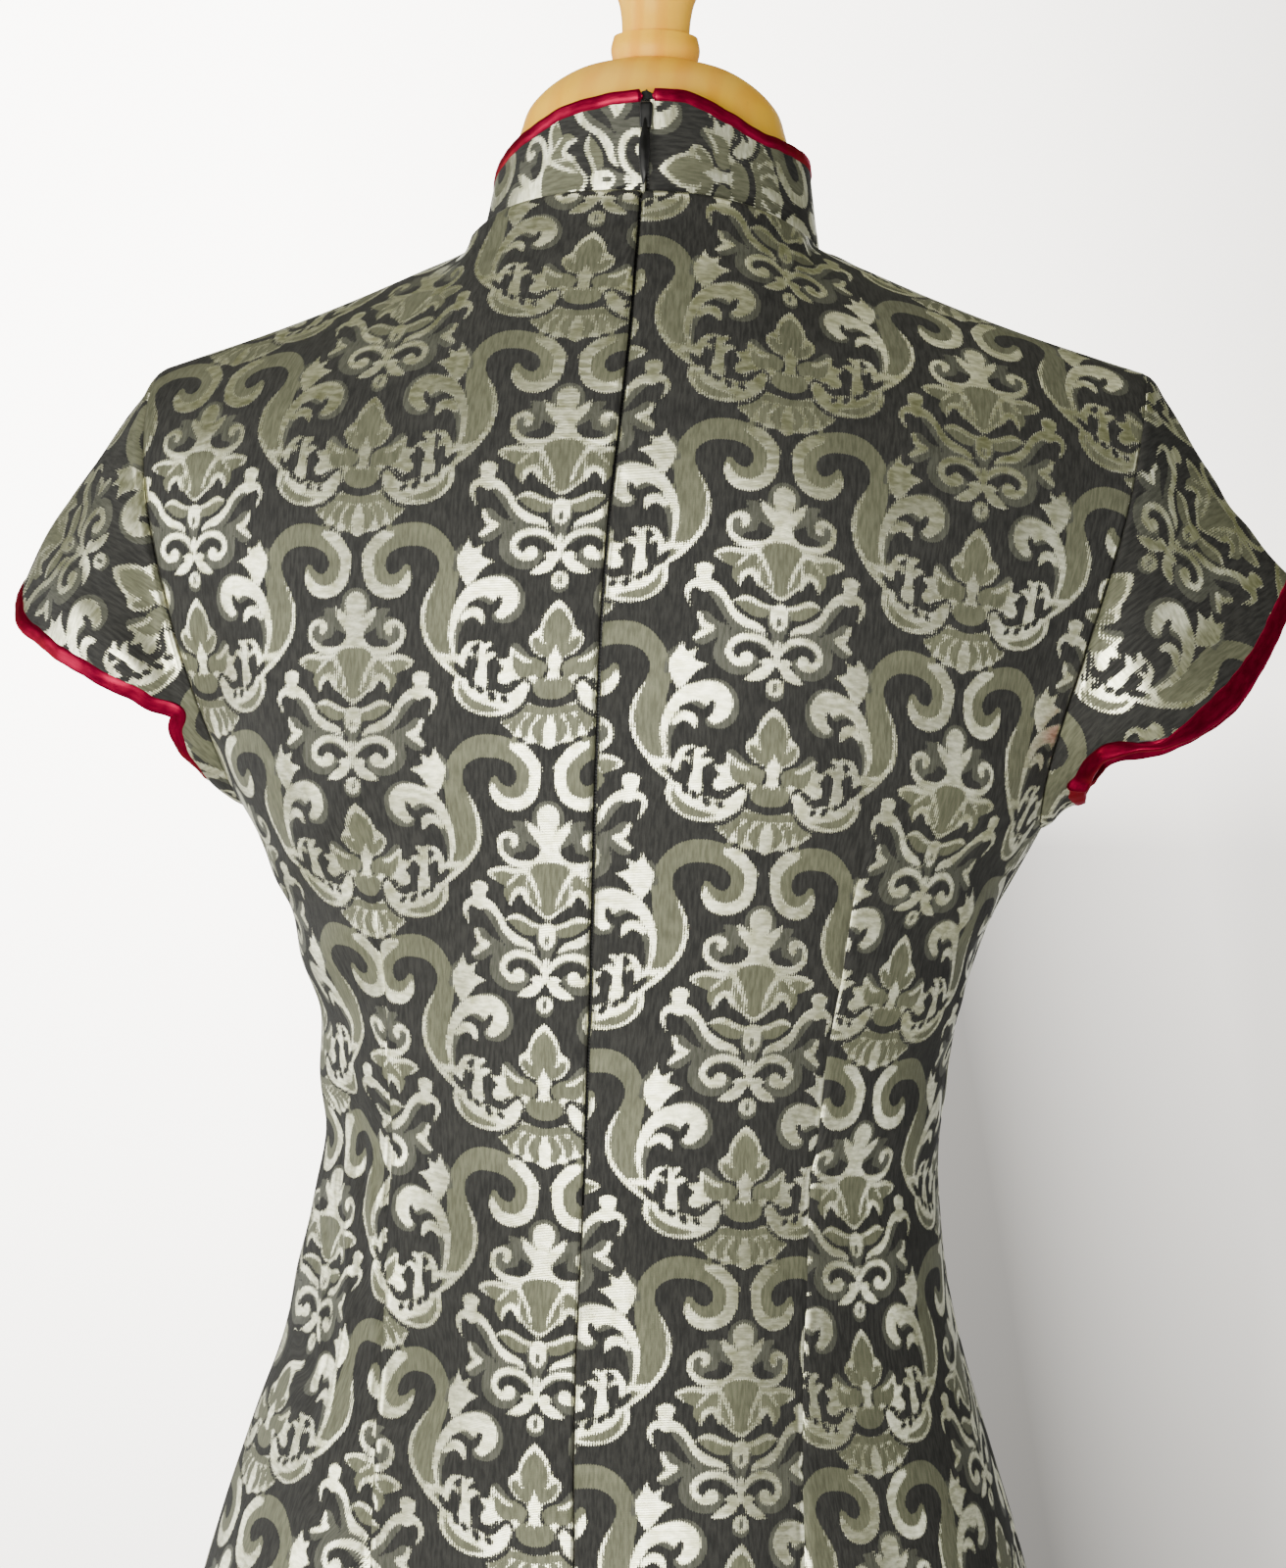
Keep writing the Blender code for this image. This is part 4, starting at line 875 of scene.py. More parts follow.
def damask_material(name):
    m, shader, links, node, math_, mix, ramp, place, noise, bump = material(name)
    uv = node("ShaderNodeUVMap", uv_map="cloth").outputs[0]
    split = node("ShaderNodeSeparateXYZ", {"Vector": uv})
    x, y = split.outputs[0], split.outputs[1]

    def field(key):
        return node("ShaderNodeAttribute", attribute_name=key).outputs["Fac"]

    # the floats end in steps of about 1 mm along the weft and finer ones along the warp
    comb = math_("PINGPONG", math_("MULTIPLY", x, 1000.0), 0.5)
    fine = noise(place((1.0, 1.0, 1.0), source=uv), 1400.0, 1.0)
    ragged = math_("ADD", math_("MULTIPLY", math_("SUBTRACT", comb, 0.22), 1.7), math_("MULTIPLY", math_("SUBTRACT", fine, 0.5), 1.3))
    small = math_("MULTIPLY", ragged, 0.55)
    light = ramp(math_("ADD", field("figure_light"), ragged), -0.14, 0.14, 1.0, 0.0)
    mid = ramp(math_("ADD", field("figure_mid"), small), -0.14, 0.14, 1.0, 0.0)
    grey = ramp(math_("ADD", field("figure_grey"), small), -0.16, 0.16, 1.0, 0.0)

    # tone: streaks along the warp, slubs and soft clouds
    streak = noise(place((1.0, 0.16, 1.0), source=uv), 900.0, 2.0, 0.6)
    slub = noise(place((0.35, 1.0, 1.0), source=uv), 520.0, 2.0, 0.6)
    cloud = noise(place((1.0, 1.0, 1.0), source=uv), 55.0, 2.0, 0.5)
    patch = noise(place((1.0, 0.55, 1.0), source=uv), 170.0, 2.0, 0.5)

    ground = mix(ramp(streak, 0.3, 0.7), (0.0160, 0.0157, 0.0153), (0.0350, 0.0342, 0.0320))
    greyish = mix(ramp(streak, 0.3, 0.7), (0.054, 0.055, 0.043), (0.096, 0.097, 0.078))
    midway = mix(ramp(streak, 0.3, 0.7), (0.092, 0.094, 0.061), (0.152, 0.154, 0.103))
    cream = mix(ramp(slub, 0.3, 0.7), (0.560, 0.556, 0.370), (0.960, 0.950, 0.740))
    cream = mix(math_("MULTIPLY", ramp(patch, 0.50, 0.72), 0.45), cream, (0.400, 0.400, 0.210))
    colour = mix(grey, ground, greyish)
    colour = mix(mid, colour, midway)
    colour = mix(light, colour, cream)
    tone = mix(ramp(cloud, 0.2, 0.8), (0.88, 0.88, 0.88), (1.08, 1.08, 1.06))
    n = node("ShaderNodeMix", data_type="RGBA", blend_type="MULTIPLY")
    n.inputs[0].default_value = 1.0
    links.new(colour, n.inputs[6])
    links.new(tone, n.inputs[7])
    links.new(n.outputs[2], shader.inputs["Base Color"])

    metal = math_("MULTIPLY", grey, 0.20)
    metal = math_("ADD", metal, math_("MULTIPLY", mid, 0.06))
    metal = math_("ADD", metal, math_("MULTIPLY", light, 0.72))
    links.new(math_("MINIMUM", metal, 0.98), shader.inputs["Metallic"])
    rough = math_("SUBTRACT", 0.66, math_("MULTIPLY", grey, 0.16))
    rough = math_("SUBTRACT", rough, math_("MULTIPLY", light, 0.18))
    rough = math_("ADD", rough, math_("MULTIPLY", math_("SUBTRACT", slub, 0.5), 0.16))
    links.new(rough, shader.inputs["Roughness"])
    shader.inputs["Specular IOR Level"].default_value = 0.16

    # relief: the figure stands a little proud of the ground, its floats lie side by side
    raised = math_("ADD", math_("MULTIPLY", grey, 0.4), math_("MULTIPLY", light, 0.6))
    floats = math_("MULTIPLY", math_("PINGPONG", math_("MULTIPLY", y, 1000.0), 0.30), 3.0)
    twill = math_("MULTIPLY", math_("PINGPONG", math_("MULTIPLY", math_("ADD", x, math_("MULTIPLY", y, 0.6)), 1000.0), 0.22), 4.0)
    weave = math_("ADD", math_("MULTIPLY", floats, raised), math_("MULTIPLY", twill, math_("SUBTRACT", 1.0, raised)))
    weave = math_("ADD", weave, math_("MULTIPLY", slub, 1.2))
    relief = bump(raised, 0.55, 0.00022)
    links.new(bump(weave, 0.35, 0.00010, relief), shader.inputs["Normal"])
    return m


def reverse_material():
    m, shader, links, node, math_, mix, ramp, place, noise, bump = material("damask_reverse")
    uv = place((1.0, 1.0, 1.0), uv="cloth")
    streak = noise(place((1.0, 0.12, 1.0), uv="cloth"), 700.0, 3.0, 0.6)
    cloud = noise(uv, 60.0, 2.0)
    colour = mix(ramp(streak, 0.3, 0.7), (0.045, 0.045, 0.042), (0.10, 0.10, 0.09))
    colour = mix(math_("MULTIPLY", ramp(cloud, 0.45, 0.6), 0.5), colour, (0.15, 0.15, 0.13))
    links.new(colour, shader.inputs["Base Color"])
    shader.inputs["Roughness"].default_value = 0.75
    shader.inputs["Sheen Weight"].default_value = 0.1
    links.new(bump(streak, 0.4, 0.0001), shader.inputs["Normal"])
    return m


def satin_material():
    m, shader, links, node, math_, mix, ramp, place, noise, bump = material("crimson_satin")
    thread = noise(place((1.0, 14.0, 1.0), uv="cloth"), 160.0, 3.0, 0.6)
    cloud = noise(place((1.0, 1.0, 1.0), uv="cloth"), 90.0, 2.0)
    colour = mix(ramp(thread, 0.25, 0.75), (0.142, 0.0021, 0.0160), (0.250, 0.0046, 0.0300))
    colour = mix(math_("MULTIPLY", ramp(cloud, 0.45, 0.75), 0.4), colour, (0.080, 0.0008, 0.0110))
    links.new(colour, shader.inputs["Base Color"])
    links.new(math_("ADD", 0.27, math_("MULTIPLY", thread, 0.18)), shader.inputs["Roughness"])
    shader.inputs["Metallic"].default_value = 0.82
    shader.inputs["Specular IOR Level"].default_value = 0.5
    shader.inputs["Specular Tint"].default_value = (1.0, 0.10, 0.28, 1.0)
    soft = bump(cloud, 0.35, 0.0006)
    links.new(bump(thread, 0.35, 0.00008, soft), shader.inputs["Normal"])
    return m


def wood_material():
    m, shader, links, node, math_, mix, ramp, place, noise, bump = material("varnished_maple")
    where = node("ShaderNodeTexCoord").outputs["Object"]
    wander = noise(place((1.0, 1.0, 0.35), source=where), 9.0, 2.0)
    n = node("ShaderNodeVectorMath", {0: where}, operation="ADD")
    shift = node("ShaderNodeCombineXYZ", {"X": math_("MULTIPLY", wander, 0.05), "Y": math_("MULTIPLY", wander, 0.03)})
    links.new(shift.outputs[0], n.inputs[1])
    rings = node("ShaderNodeTexWave", {"Vector": place((1.0, 0.5, 0.10), source=n.outputs[0]), "Scale": 26.0, "Distortion": 3.0, "Detail": 3.0, "Detail Scale": 1.6}, wave_type="BANDS", bands_direction="X").outputs["Fac"]
    pores = noise(place((1.0, 1.0, 0.04), source=where), 700.0, 3.0, 0.7)
    figure_ = noise(place((1.0, 1.0, 0.3), source=where), 34.0, 3.0, 0.6)
    colour = mix(ramp(rings, 0.15, 0.95), (1.000, 0.530, 0.018), (0.950, 0.440, 0.012))
    colour = mix(math_("MULTIPLY", ramp(figure_, 0.35, 0.75), 0.55), colour, (1.000, 0.610, 0.075))
    colour = mix(math_("MULTIPLY", ramp(pores, 0.60, 0.74), 0.18), colour, (0.480, 0.240, 0.060))
    links.new(colour, shader.inputs["Base Color"])
    links.new(ramp(figure_, 0.2, 0.8, 0.44, 0.56), shader.inputs["Roughness"])
    shader.inputs["Specular IOR Level"].default_value = 0.18
    shader.inputs["Coat Weight"].default_value = 0.07
    shader.inputs["Coat Roughness"].default_value = 0.20
    links.new(bump(pores, 0.12, 0.0001), shader.inputs["Normal"])
    return m


def jersey_material():
    m, shader, links, node, math_, mix, ramp, place, noise, bump = material("cream_jersey")
    where = node("ShaderNodeTexCoord").outputs["Object"]
    rib = node("ShaderNodeTexWave", {"Vector": where, "Scale": 320.0, "Distortion": 0.6, "Detail": 2.0}, wave_type="BANDS", bands_direction="X").outputs["Fac"]
    loops = noise(place((1.0, 1.0, 0.6), source=where), 900.0, 2.0)
    cloud = noise(where, 22.0, 3.0)
    colour = mix(ramp(loops, 0.3, 0.7), (0.640, 0.590, 0.470), (0.760, 0.715, 0.600))
    colour = mix(math_("MULTIPLY", ramp(cloud, 0.4, 0.7), 0.25), colour, (0.560, 0.510, 0.400))
    links.new(colour, shader.inputs["Base Color"])
    shader.inputs["Roughness"].default_value = 0.85
    shader.inputs["Sheen Weight"].default_value = 0.3
    links.new(bump(math_("ADD", math_("MULTIPLY", rib, 0.6), loops), 0.5, 0.0002), shader.inputs["Normal"])
    return m


def zip_material(name, gloss):
    m, shader, links, node, math_, mix, ramp, place, noise, bump = material(name)
    where = node("ShaderNodeTexCoord").outputs["Object"]
    grain = noise(where, 900.0 if gloss else 1500.0, 3.0)
    wear = noise(where, 240.0, 3.0)
    colour = mix(ramp(wear, 0.45, 0.75), (0.0020, 0.0020, 0.0020), (0.0075, 0.0072, 0.0072))
    links.new(colour, shader.inputs["Base Color"])
    if gloss:
        links.new(ramp(wear, 0.3, 0.7, 0.30, 0.46), shader.inputs["Roughness"])
        shader.inputs["Specular IOR Level"].default_value = 0.3
        links.new(bump(wear, 0.1, 0.0001), shader.inputs["Normal"])
    else:
        shader.inputs["Roughness"].default_value = 0.8
        links.new(bump(grain, 0.5, 0.0002), shader.inputs["Normal"])
    return m


DAMASK = damask_material("silk_damask")
REVERSE = reverse_material()
SATIN = satin_material()
WOOD = wood_material()
JERSEY = jersey_material()
BLACK_GLOSS = zip_material("black_enamel", True)
BLACK_TAPE = zip_material("black_tape", False)

# ---------------------------------------------------------------- cutting, darts and creases
# damask's place on each back panel: the mirror line nearest the middle seam and one apex on it, in mm
LINE_FROM_SEAM = {1: ((0.46, 17.0), (1.45, 17.0)), -1: ((0.90, 62.0), (1.10, 64.0), (1.20, 66.0), (1.32, 55.0), (1.45, 50.0))}
APEX_FROM_UNDERARM = {1: 74.0, -1: 30.0}
# how the worn cloth is eased off that grain: height, then mm across and up on the first mirror line and on the next
EASED = {
    1: (
        # z, across on the first, up on the first, across on the next, up on the next
        (0.46, 2, -8, 5.4, -13),
        (0.943, 2.6, -8, 5.4, -13),
        (1.024, 3, -8.9, 5.4, -13),
        (1.098, 0, -7.5, 4.4, -13),
        (1.183, 1.6, -10.8, 5.1, -13.3),
        (1.257, 11.5, -10.3, 12, -13.9),
        (1.339, 12.3, -11.5, 12.9, -13.5),
        (1.397, 13.6, 2.1, 12.9, -9),
        (1.43, 14, 6, 12.9, -6),
    ),
    -1: (
        # z, across on the first, up on the first, across on the next, up on the next
        (0.46, 1, 71, 20.4, 73),
        (0.99, 0, 70.5, 20.7, 73.4),
        (1.061, 3.8, 74.1, 15.4, 76.8),
        (1.146, 1.5, 70.6, 16.5, 82),
        (1.219, 3.5, 70.7, 17.6, 76),
        (1.302, -2.4, 69.4, 1.8, 78.2),
        (1.368, -8, 74.2, -2.6, 80),
        (1.43, -10, 78, -2.6, 82),
    ),
}
# back waist darts: height, distance from the middle seam, width taken in
DART = {
    1: (
        # z, from the seam, intake
        (0.80, 0.0800, 0.0000),
        (0.86, 0.0800, 0.0000),
        (0.96, 0.0800, 0.0140),
        (1.046, 0.0830, 0.0250),
        (1.10, 0.0860, 0.0150),
        (1.153, 0.0890, 0.0000),
        (1.20, 0.0900, 0.0000),
    ),
    -1: (
        # z, from the seam, intake
        (0.80, 0.0860, 0.0000),
        (0.86, 0.0860, 0.0000),
        (0.96, 0.0860, 0.0140),
        (1.046, 0.0870, 0.0250),
        (1.11, 0.0940, 0.0140),
        (1.172, 0.1020, 0.0000),
        (1.20, 0.1040, 0.0000),
    ),
}


def along(table, z, column):
    """A table read at many heights by straight lines."""
    t = np.array(table)
    return np.interp(z, t[:, 0], t[:, column])


def eased(table, z, column, reach=0.014):
    """As along, with its corners rounded."""
    return sum(along(table, z + k * reach, column) for k in (-1, -0.5, 0, 0.5, 1)) / 5


def crease(p, table, mirror=1):
    """How far the cloth stands out at each point: soft ridges (+) and troughs (-) from a table."""
    out = np.zeros(p.shape[:2])
    for x, z, angle, length, width, depth in table:
        dx, dz = p[..., 0] * mirror - x, p[..., 2] - z
        a = math.radians(angle)
        u = dx * math.cos(a) + dz * math.sin(a)
        v = -dx * math.sin(a) + dz * math.cos(a)
        bend = v - 0.12 * u * u / length
        out += depth * np.exp(-((u / length) ** 2) - (bend / width) ** 2)
    return out


BACK_CREASES = {
    1: (
        # x, z, angle from level, half length, half width, how far out
        (0.118, 1.165, -38, 0.050, 0.010, 0.0016),
        (0.108, 1.150, -30, 0.045, 0.009, -0.0014),
        (0.122, 1.120, -16, 0.040, 0.010, 0.0015),
        (0.118, 1.098, -10, 0.038, 0.009, -0.0013),
        (0.112, 1.074, -4, 0.040, 0.010, 0.0014),
        (0.108, 1.050, 5, 0.034, 0.009, -0.0013),
        (0.106, 1.026, 12, 0.036, 0.010, 0.0013),
        (0.110, 1.000, 22, 0.032, 0.010, -0.0010),
        (0.040, 1.040, 4, 0.050, 0.018, -0.0009),
        (0.045, 1.000, -4, 0.045, 0.018, 0.0008),
        (0.150, 1.215, 62, 0.045, 0.009, -0.0012),
        (0.138, 1.235, 66, 0.050, 0.011, 0.0012),
        (0.060, 1.385, -32, 0.040, 0.008, -0.0008),
        (0.085, 0.900, 78, 0.070, 0.020, 0.0012),
        (0.120, 0.860, 84, 0.080, 0.018, -0.0012),
        (0.060, 0.700, 88, 0.150, 0.024, 0.0022),
        (0.105, 0.640, 90, 0.160, 0.022, -0.0020),
    ),
    -1: (
        # x, z, angle from level, half length, half width, how far out
        (0.122, 1.172, -42, 0.050, 0.010, -0.0016),
        (0.112, 1.158, -36, 0.045, 0.010, 0.0016),
        (0.120, 1.134, -22, 0.040, 0.009, -0.0013),
        (0.116, 1.110, -14, 0.042, 0.010, 0.0016),
        (0.110, 1.084, -6, 0.036, 0.009, -0.0014),
        (0.106, 1.060, 2, 0.040, 0.010, 0.0013),
        (0.105, 1.034, 10, 0.032, 0.009, -0.0013),
        (0.108, 1.008, 20, 0.036, 0.011, 0.0012),
        (0.042, 1.030, -5, 0.048, 0.018, -0.0009),
        (0.040, 0.992, 3, 0.050, 0.020, 0.0008),
        (0.152, 1.220, 60, 0.040, 0.010, -0.0014),
        (0.140, 1.245, 68, 0.052, 0.010, 0.0011),
        (0.058, 1.388, -30, 0.036, 0.009, -0.0007),
        (0.080, 0.890, 80, 0.075, 0.018, -0.0012),
        (0.118, 0.870, 82, 0.070, 0.020, 0.0012),
        (0.070, 0.660, 88, 0.160, 0.022, -0.0022),
        (0.112, 0.690, 92, 0.140, 0.024, 0.0020),
    ),
}
FRONT_CREASES = (
    # x, z, angle from level, half length, half width, how far out
    (0.120, 1.150, 34, 0.050, 0.010, 0.0015),
    (0.112, 1.132, 26, 0.046, 0.010, -0.0014),
    (0.116, 1.092, 12, 0.040, 0.010, 0.0014),
    (0.110, 1.066, 3, 0.044, 0.010, -0.0014),
    (0.106, 1.038, -8, 0.036, 0.011, 0.0013),
    (-0.118, 1.158, -36, 0.046, 0.011, -0.0014),
    (-0.110, 1.138, -26, 0.050, 0.010, 0.0015),
    (-0.114, 1.100, -12, 0.042, 0.011, -0.0013),
    (-0.108, 1.070, -2, 0.038, 0.010, 0.0014),
    (-0.106, 1.044, 9, 0.040, 0.010, -0.0012),
    (0.010, 1.030, 2, 0.060, 0.018, -0.0010),
    (-0.015, 0.985, -3, 0.055, 0.020, 0.0010),
    (0.060, 0.880, 80, 0.080, 0.020, 0.0014),
    (-0.070, 0.870, 100, 0.090, 0.022, -0.0014),
    (0.080, 0.660, 88, 0.150, 0.024, -0.0022),
    (-0.020, 0.640, 91, 0.170, 0.026, 0.0022),
    (-0.095, 0.680, 94, 0.140, 0.022, 0.0018),
)


# how the cloth beyond the left dart has been taken in and eased closer than its grain:
# mm past the dart's line, height in m, then mm across and mm up
TAKEN_IN = (
    (15, 1.034, 31.0, -5.5),
    (6, 1.036, 25.0, -6.0),
    (16, 1.016, 26.5, -5.0),
    (8, 0.997, 22.0, -7.0),
    (24, 1.059, 27.0, -3.5),
    (5, 1.026, 18.0, -5.0),
    (0, 0.988, 15.5, -4.5),
    (12, 0.983, 15.5, -6.5),
    (13, 0.952, 15.0, -4.5),
    (23, 0.973, 24.0, -6.5),
    (41, 0.982, 35.0, -10.0),
    (13, 1.003, 28.0, -5.0),
    (28, 1.044, 31.0, -3.0),
    (48, 1.046, 35.0, -3.0),
    (2, 1.054, 8.0, -4.0),
    (9, 1.053, 17.0, -4.0),
    (4, 1.070, 3.0, -1.0),
    (28, 1.022, 33.0, -6.0),
    (45, 0.921, 10.0, -6.5),
    (60, 0.914, 10.5, -8.0),
    (22, 0.928, 13.0, -4.5),
    (42, 0.901, 6.5, -5.5),
    (60, 0.900, 6.0, -7.0),
    (13, 1.077, 6.5, 0.5),
    (28, 1.080, 12.0, 0.0),
    (45, 1.085, 13.0, 0.0),
    (5, 1.110, 0.0, 0.0),
    (30, 1.110, 2.0, 0.0),
    (20, 0.880, 3.0, -2.0),
)
# its gathers: mm past the dart's line, height, how far it leans, half width and half length in mm, how far out in mm
GATHERS = (
    (8, 1.020, 0.10, 2.4, 30, 1.2),
    (15, 1.032, 0.16, 2.7, 34, -1.1),
    (24, 1.008, 0.12, 2.4, 26, 1.3),
    (32, 1.036, 0.22, 2.8, 30, -1.1),
    (41, 0.998, 0.20, 2.6, 36, 1.2),
    (50, 1.018, 0.26, 3.2, 28, -0.9),
    (21, 0.968, -0.18, 3.0, 18, 0.8),
    (32, 0.955, -0.24, 3.4, 22, -0.8),
)
# how far the left side stands out over the hip: height, then metres
STANDS_OUT = (
    (0.860, 0.0),
    (0.905, 0.0016),
    (0.940, 0.0028),
    (0.965, 0.0022),
    (0.985, 0.0040),
    (0.998, 0.0062),
    (1.016, 0.0042),
    (1.036, 0.0004),
    (1.055, 0.0030),
    (1.085, 0.0),
)


def taken_in(past, z):
    """Mm across and up that the damask lies off its grain beyond the left dart."""
    total, across, up = 1e-6, 0.0, 0.0
    for s, at, a, u in TAKEN_IN:
        w = np.exp(-(((past - s) / 9.0) ** 2) - ((z - at) / 0.0125) ** 2) + 0.004 * np.exp(-(((past - s) / 40.0) ** 2) - ((z - at) / 0.05) ** 2)
        total, across, up = total + w, across + w * a, up + w * u
    k = np.clip((z - 0.862) / 0.035, 0, 1) * np.clip((1.140 - z) / 0.035, 0, 1)
    k = k * k * (3 - 2 * k)
    return k * across / total, k * up / total


def rolled(distance, width=0.0016, depth=0.0009):
    """How far in the cloth turns, this far from a sewn edge."""
    a = np.clip(1 - distance / width, 0, 1)
    return depth * (1 - np.sqrt(np.maximum(1 - a * a, 0)))


def turn_edges(p, n, uv, start=True, end=True, low=True, top=True, depth=0.0013, back=0.0045):
    """Add the allowance that is folded under along each edge: two more lines of points a side."""

    def inner(axis, first):
        run = lengths(p, axis)
        middle = run.shape[1 - axis] // 2
        line = run[middle] if axis == 1 else run[:, middle]
        if not first:
            line = line[-1] - line[::-1]
        k = min(int(np.searchsorted(line, back)), len(line) // 3)
        return k if first else -1 - k

    if start or end:
        a, b = inner(1, True), inner(1, False)
        parts_p, parts_n, parts_uv = [p], [n], [uv]
        if start:
            parts_p[:0] = [(p[:, a] - n[:, a] * depth)[:, None], (p[:, 0] - n[:, 0] * depth)[:, None]]
            parts_n[:0] = [n[:, a][:, None], n[:, 0][:, None]]
            parts_uv[:0] = [(2 * uv[:, 0] - uv[:, a])[:, None], (uv[:, 0] - (uv[:, 1] - uv[:, 0]) * 1.0)[:, None]]
        if end:
            parts_p += [(p[:, -1] - n[:, -1] * depth)[:, None], (p[:, b] - n[:, b] * depth)[:, None]]
            parts_n += [n[:, -1][:, None], n[:, b][:, None]]
            parts_uv += [(uv[:, -1] + (uv[:, -1] - uv[:, -2]))[:, None], (2 * uv[:, -1] - uv[:, b])[:, None]]
        p, n, uv = (np.concatenate(x, 1) for x in (parts_p, parts_n, parts_uv))
    if low or top:
        a, b = inner(0, True), inner(0, False)
        parts_p, parts_n, parts_uv = [p], [n], [uv]
        if low:
            parts_p[:0] = [(p[a] - n[a] * depth)[None], (p[0] - n[0] * depth)[None]]
            parts_n[:0] = [n[a][None], n[0][None]]
            parts_uv[:0] = [(2 * uv[0] - uv[a])[None], (2 * uv[0] - uv[1])[None]]
        if top:
            parts_p += [(p[-1] - n[-1] * depth)[None], (p[b] - n[b] * depth)[None]]
            parts_n += [n[-1][None], n[b][None]]
            parts_uv += [(2 * uv[-1] - uv[-2])[None], (2 * uv[-1] - uv[b])[None]]
        p, n, uv = (np.concatenate(x, 0) for x in (parts_p, parts_n, parts_uv))
    return p, n, uv


def even_steps(run, at, spacing):
    """Places along a running length so that the steps are about spacing(at) long."""
    fine = np.linspace(at[0], at[-1], 4000)
    length = np.interp(fine, at, run)
    need = np.concatenate([[0], np.cumsum(np.diff(length) / spacing((fine[1:] + fine[:-1]) / 2))])
    count = int(round(need[-1]))
    return np.interp(np.linspace(0, need[-1], count + 1), need, fine)


def flat_places(coarse, low_rows, cut_start):
    """Cloth places in mm of a panel's coarse points, from its first column and the underarm row."""
    fine_rows = np.arange(0, coarse.shape[0] - 0.75, 0.5)
    fine_columns = np.arange(0, coarse.shape[1] - 0.75, 0.5)
    p = finer(coarse, fine_rows, fine_columns) * 1000
    s, t = lengths(p, 1), lengths(p, 0)
    t = t - t[2 * low_rows]
    start = np.stack([s, t], 2)
    free = np.zeros(s.shape, bool)
    free[2 * low_rows + 1 :] = True
    flat = flatten(p, start, free)
    flat[..., 0] += cut_start
    return flat, fine_rows, fine_columns


PIECES = {}


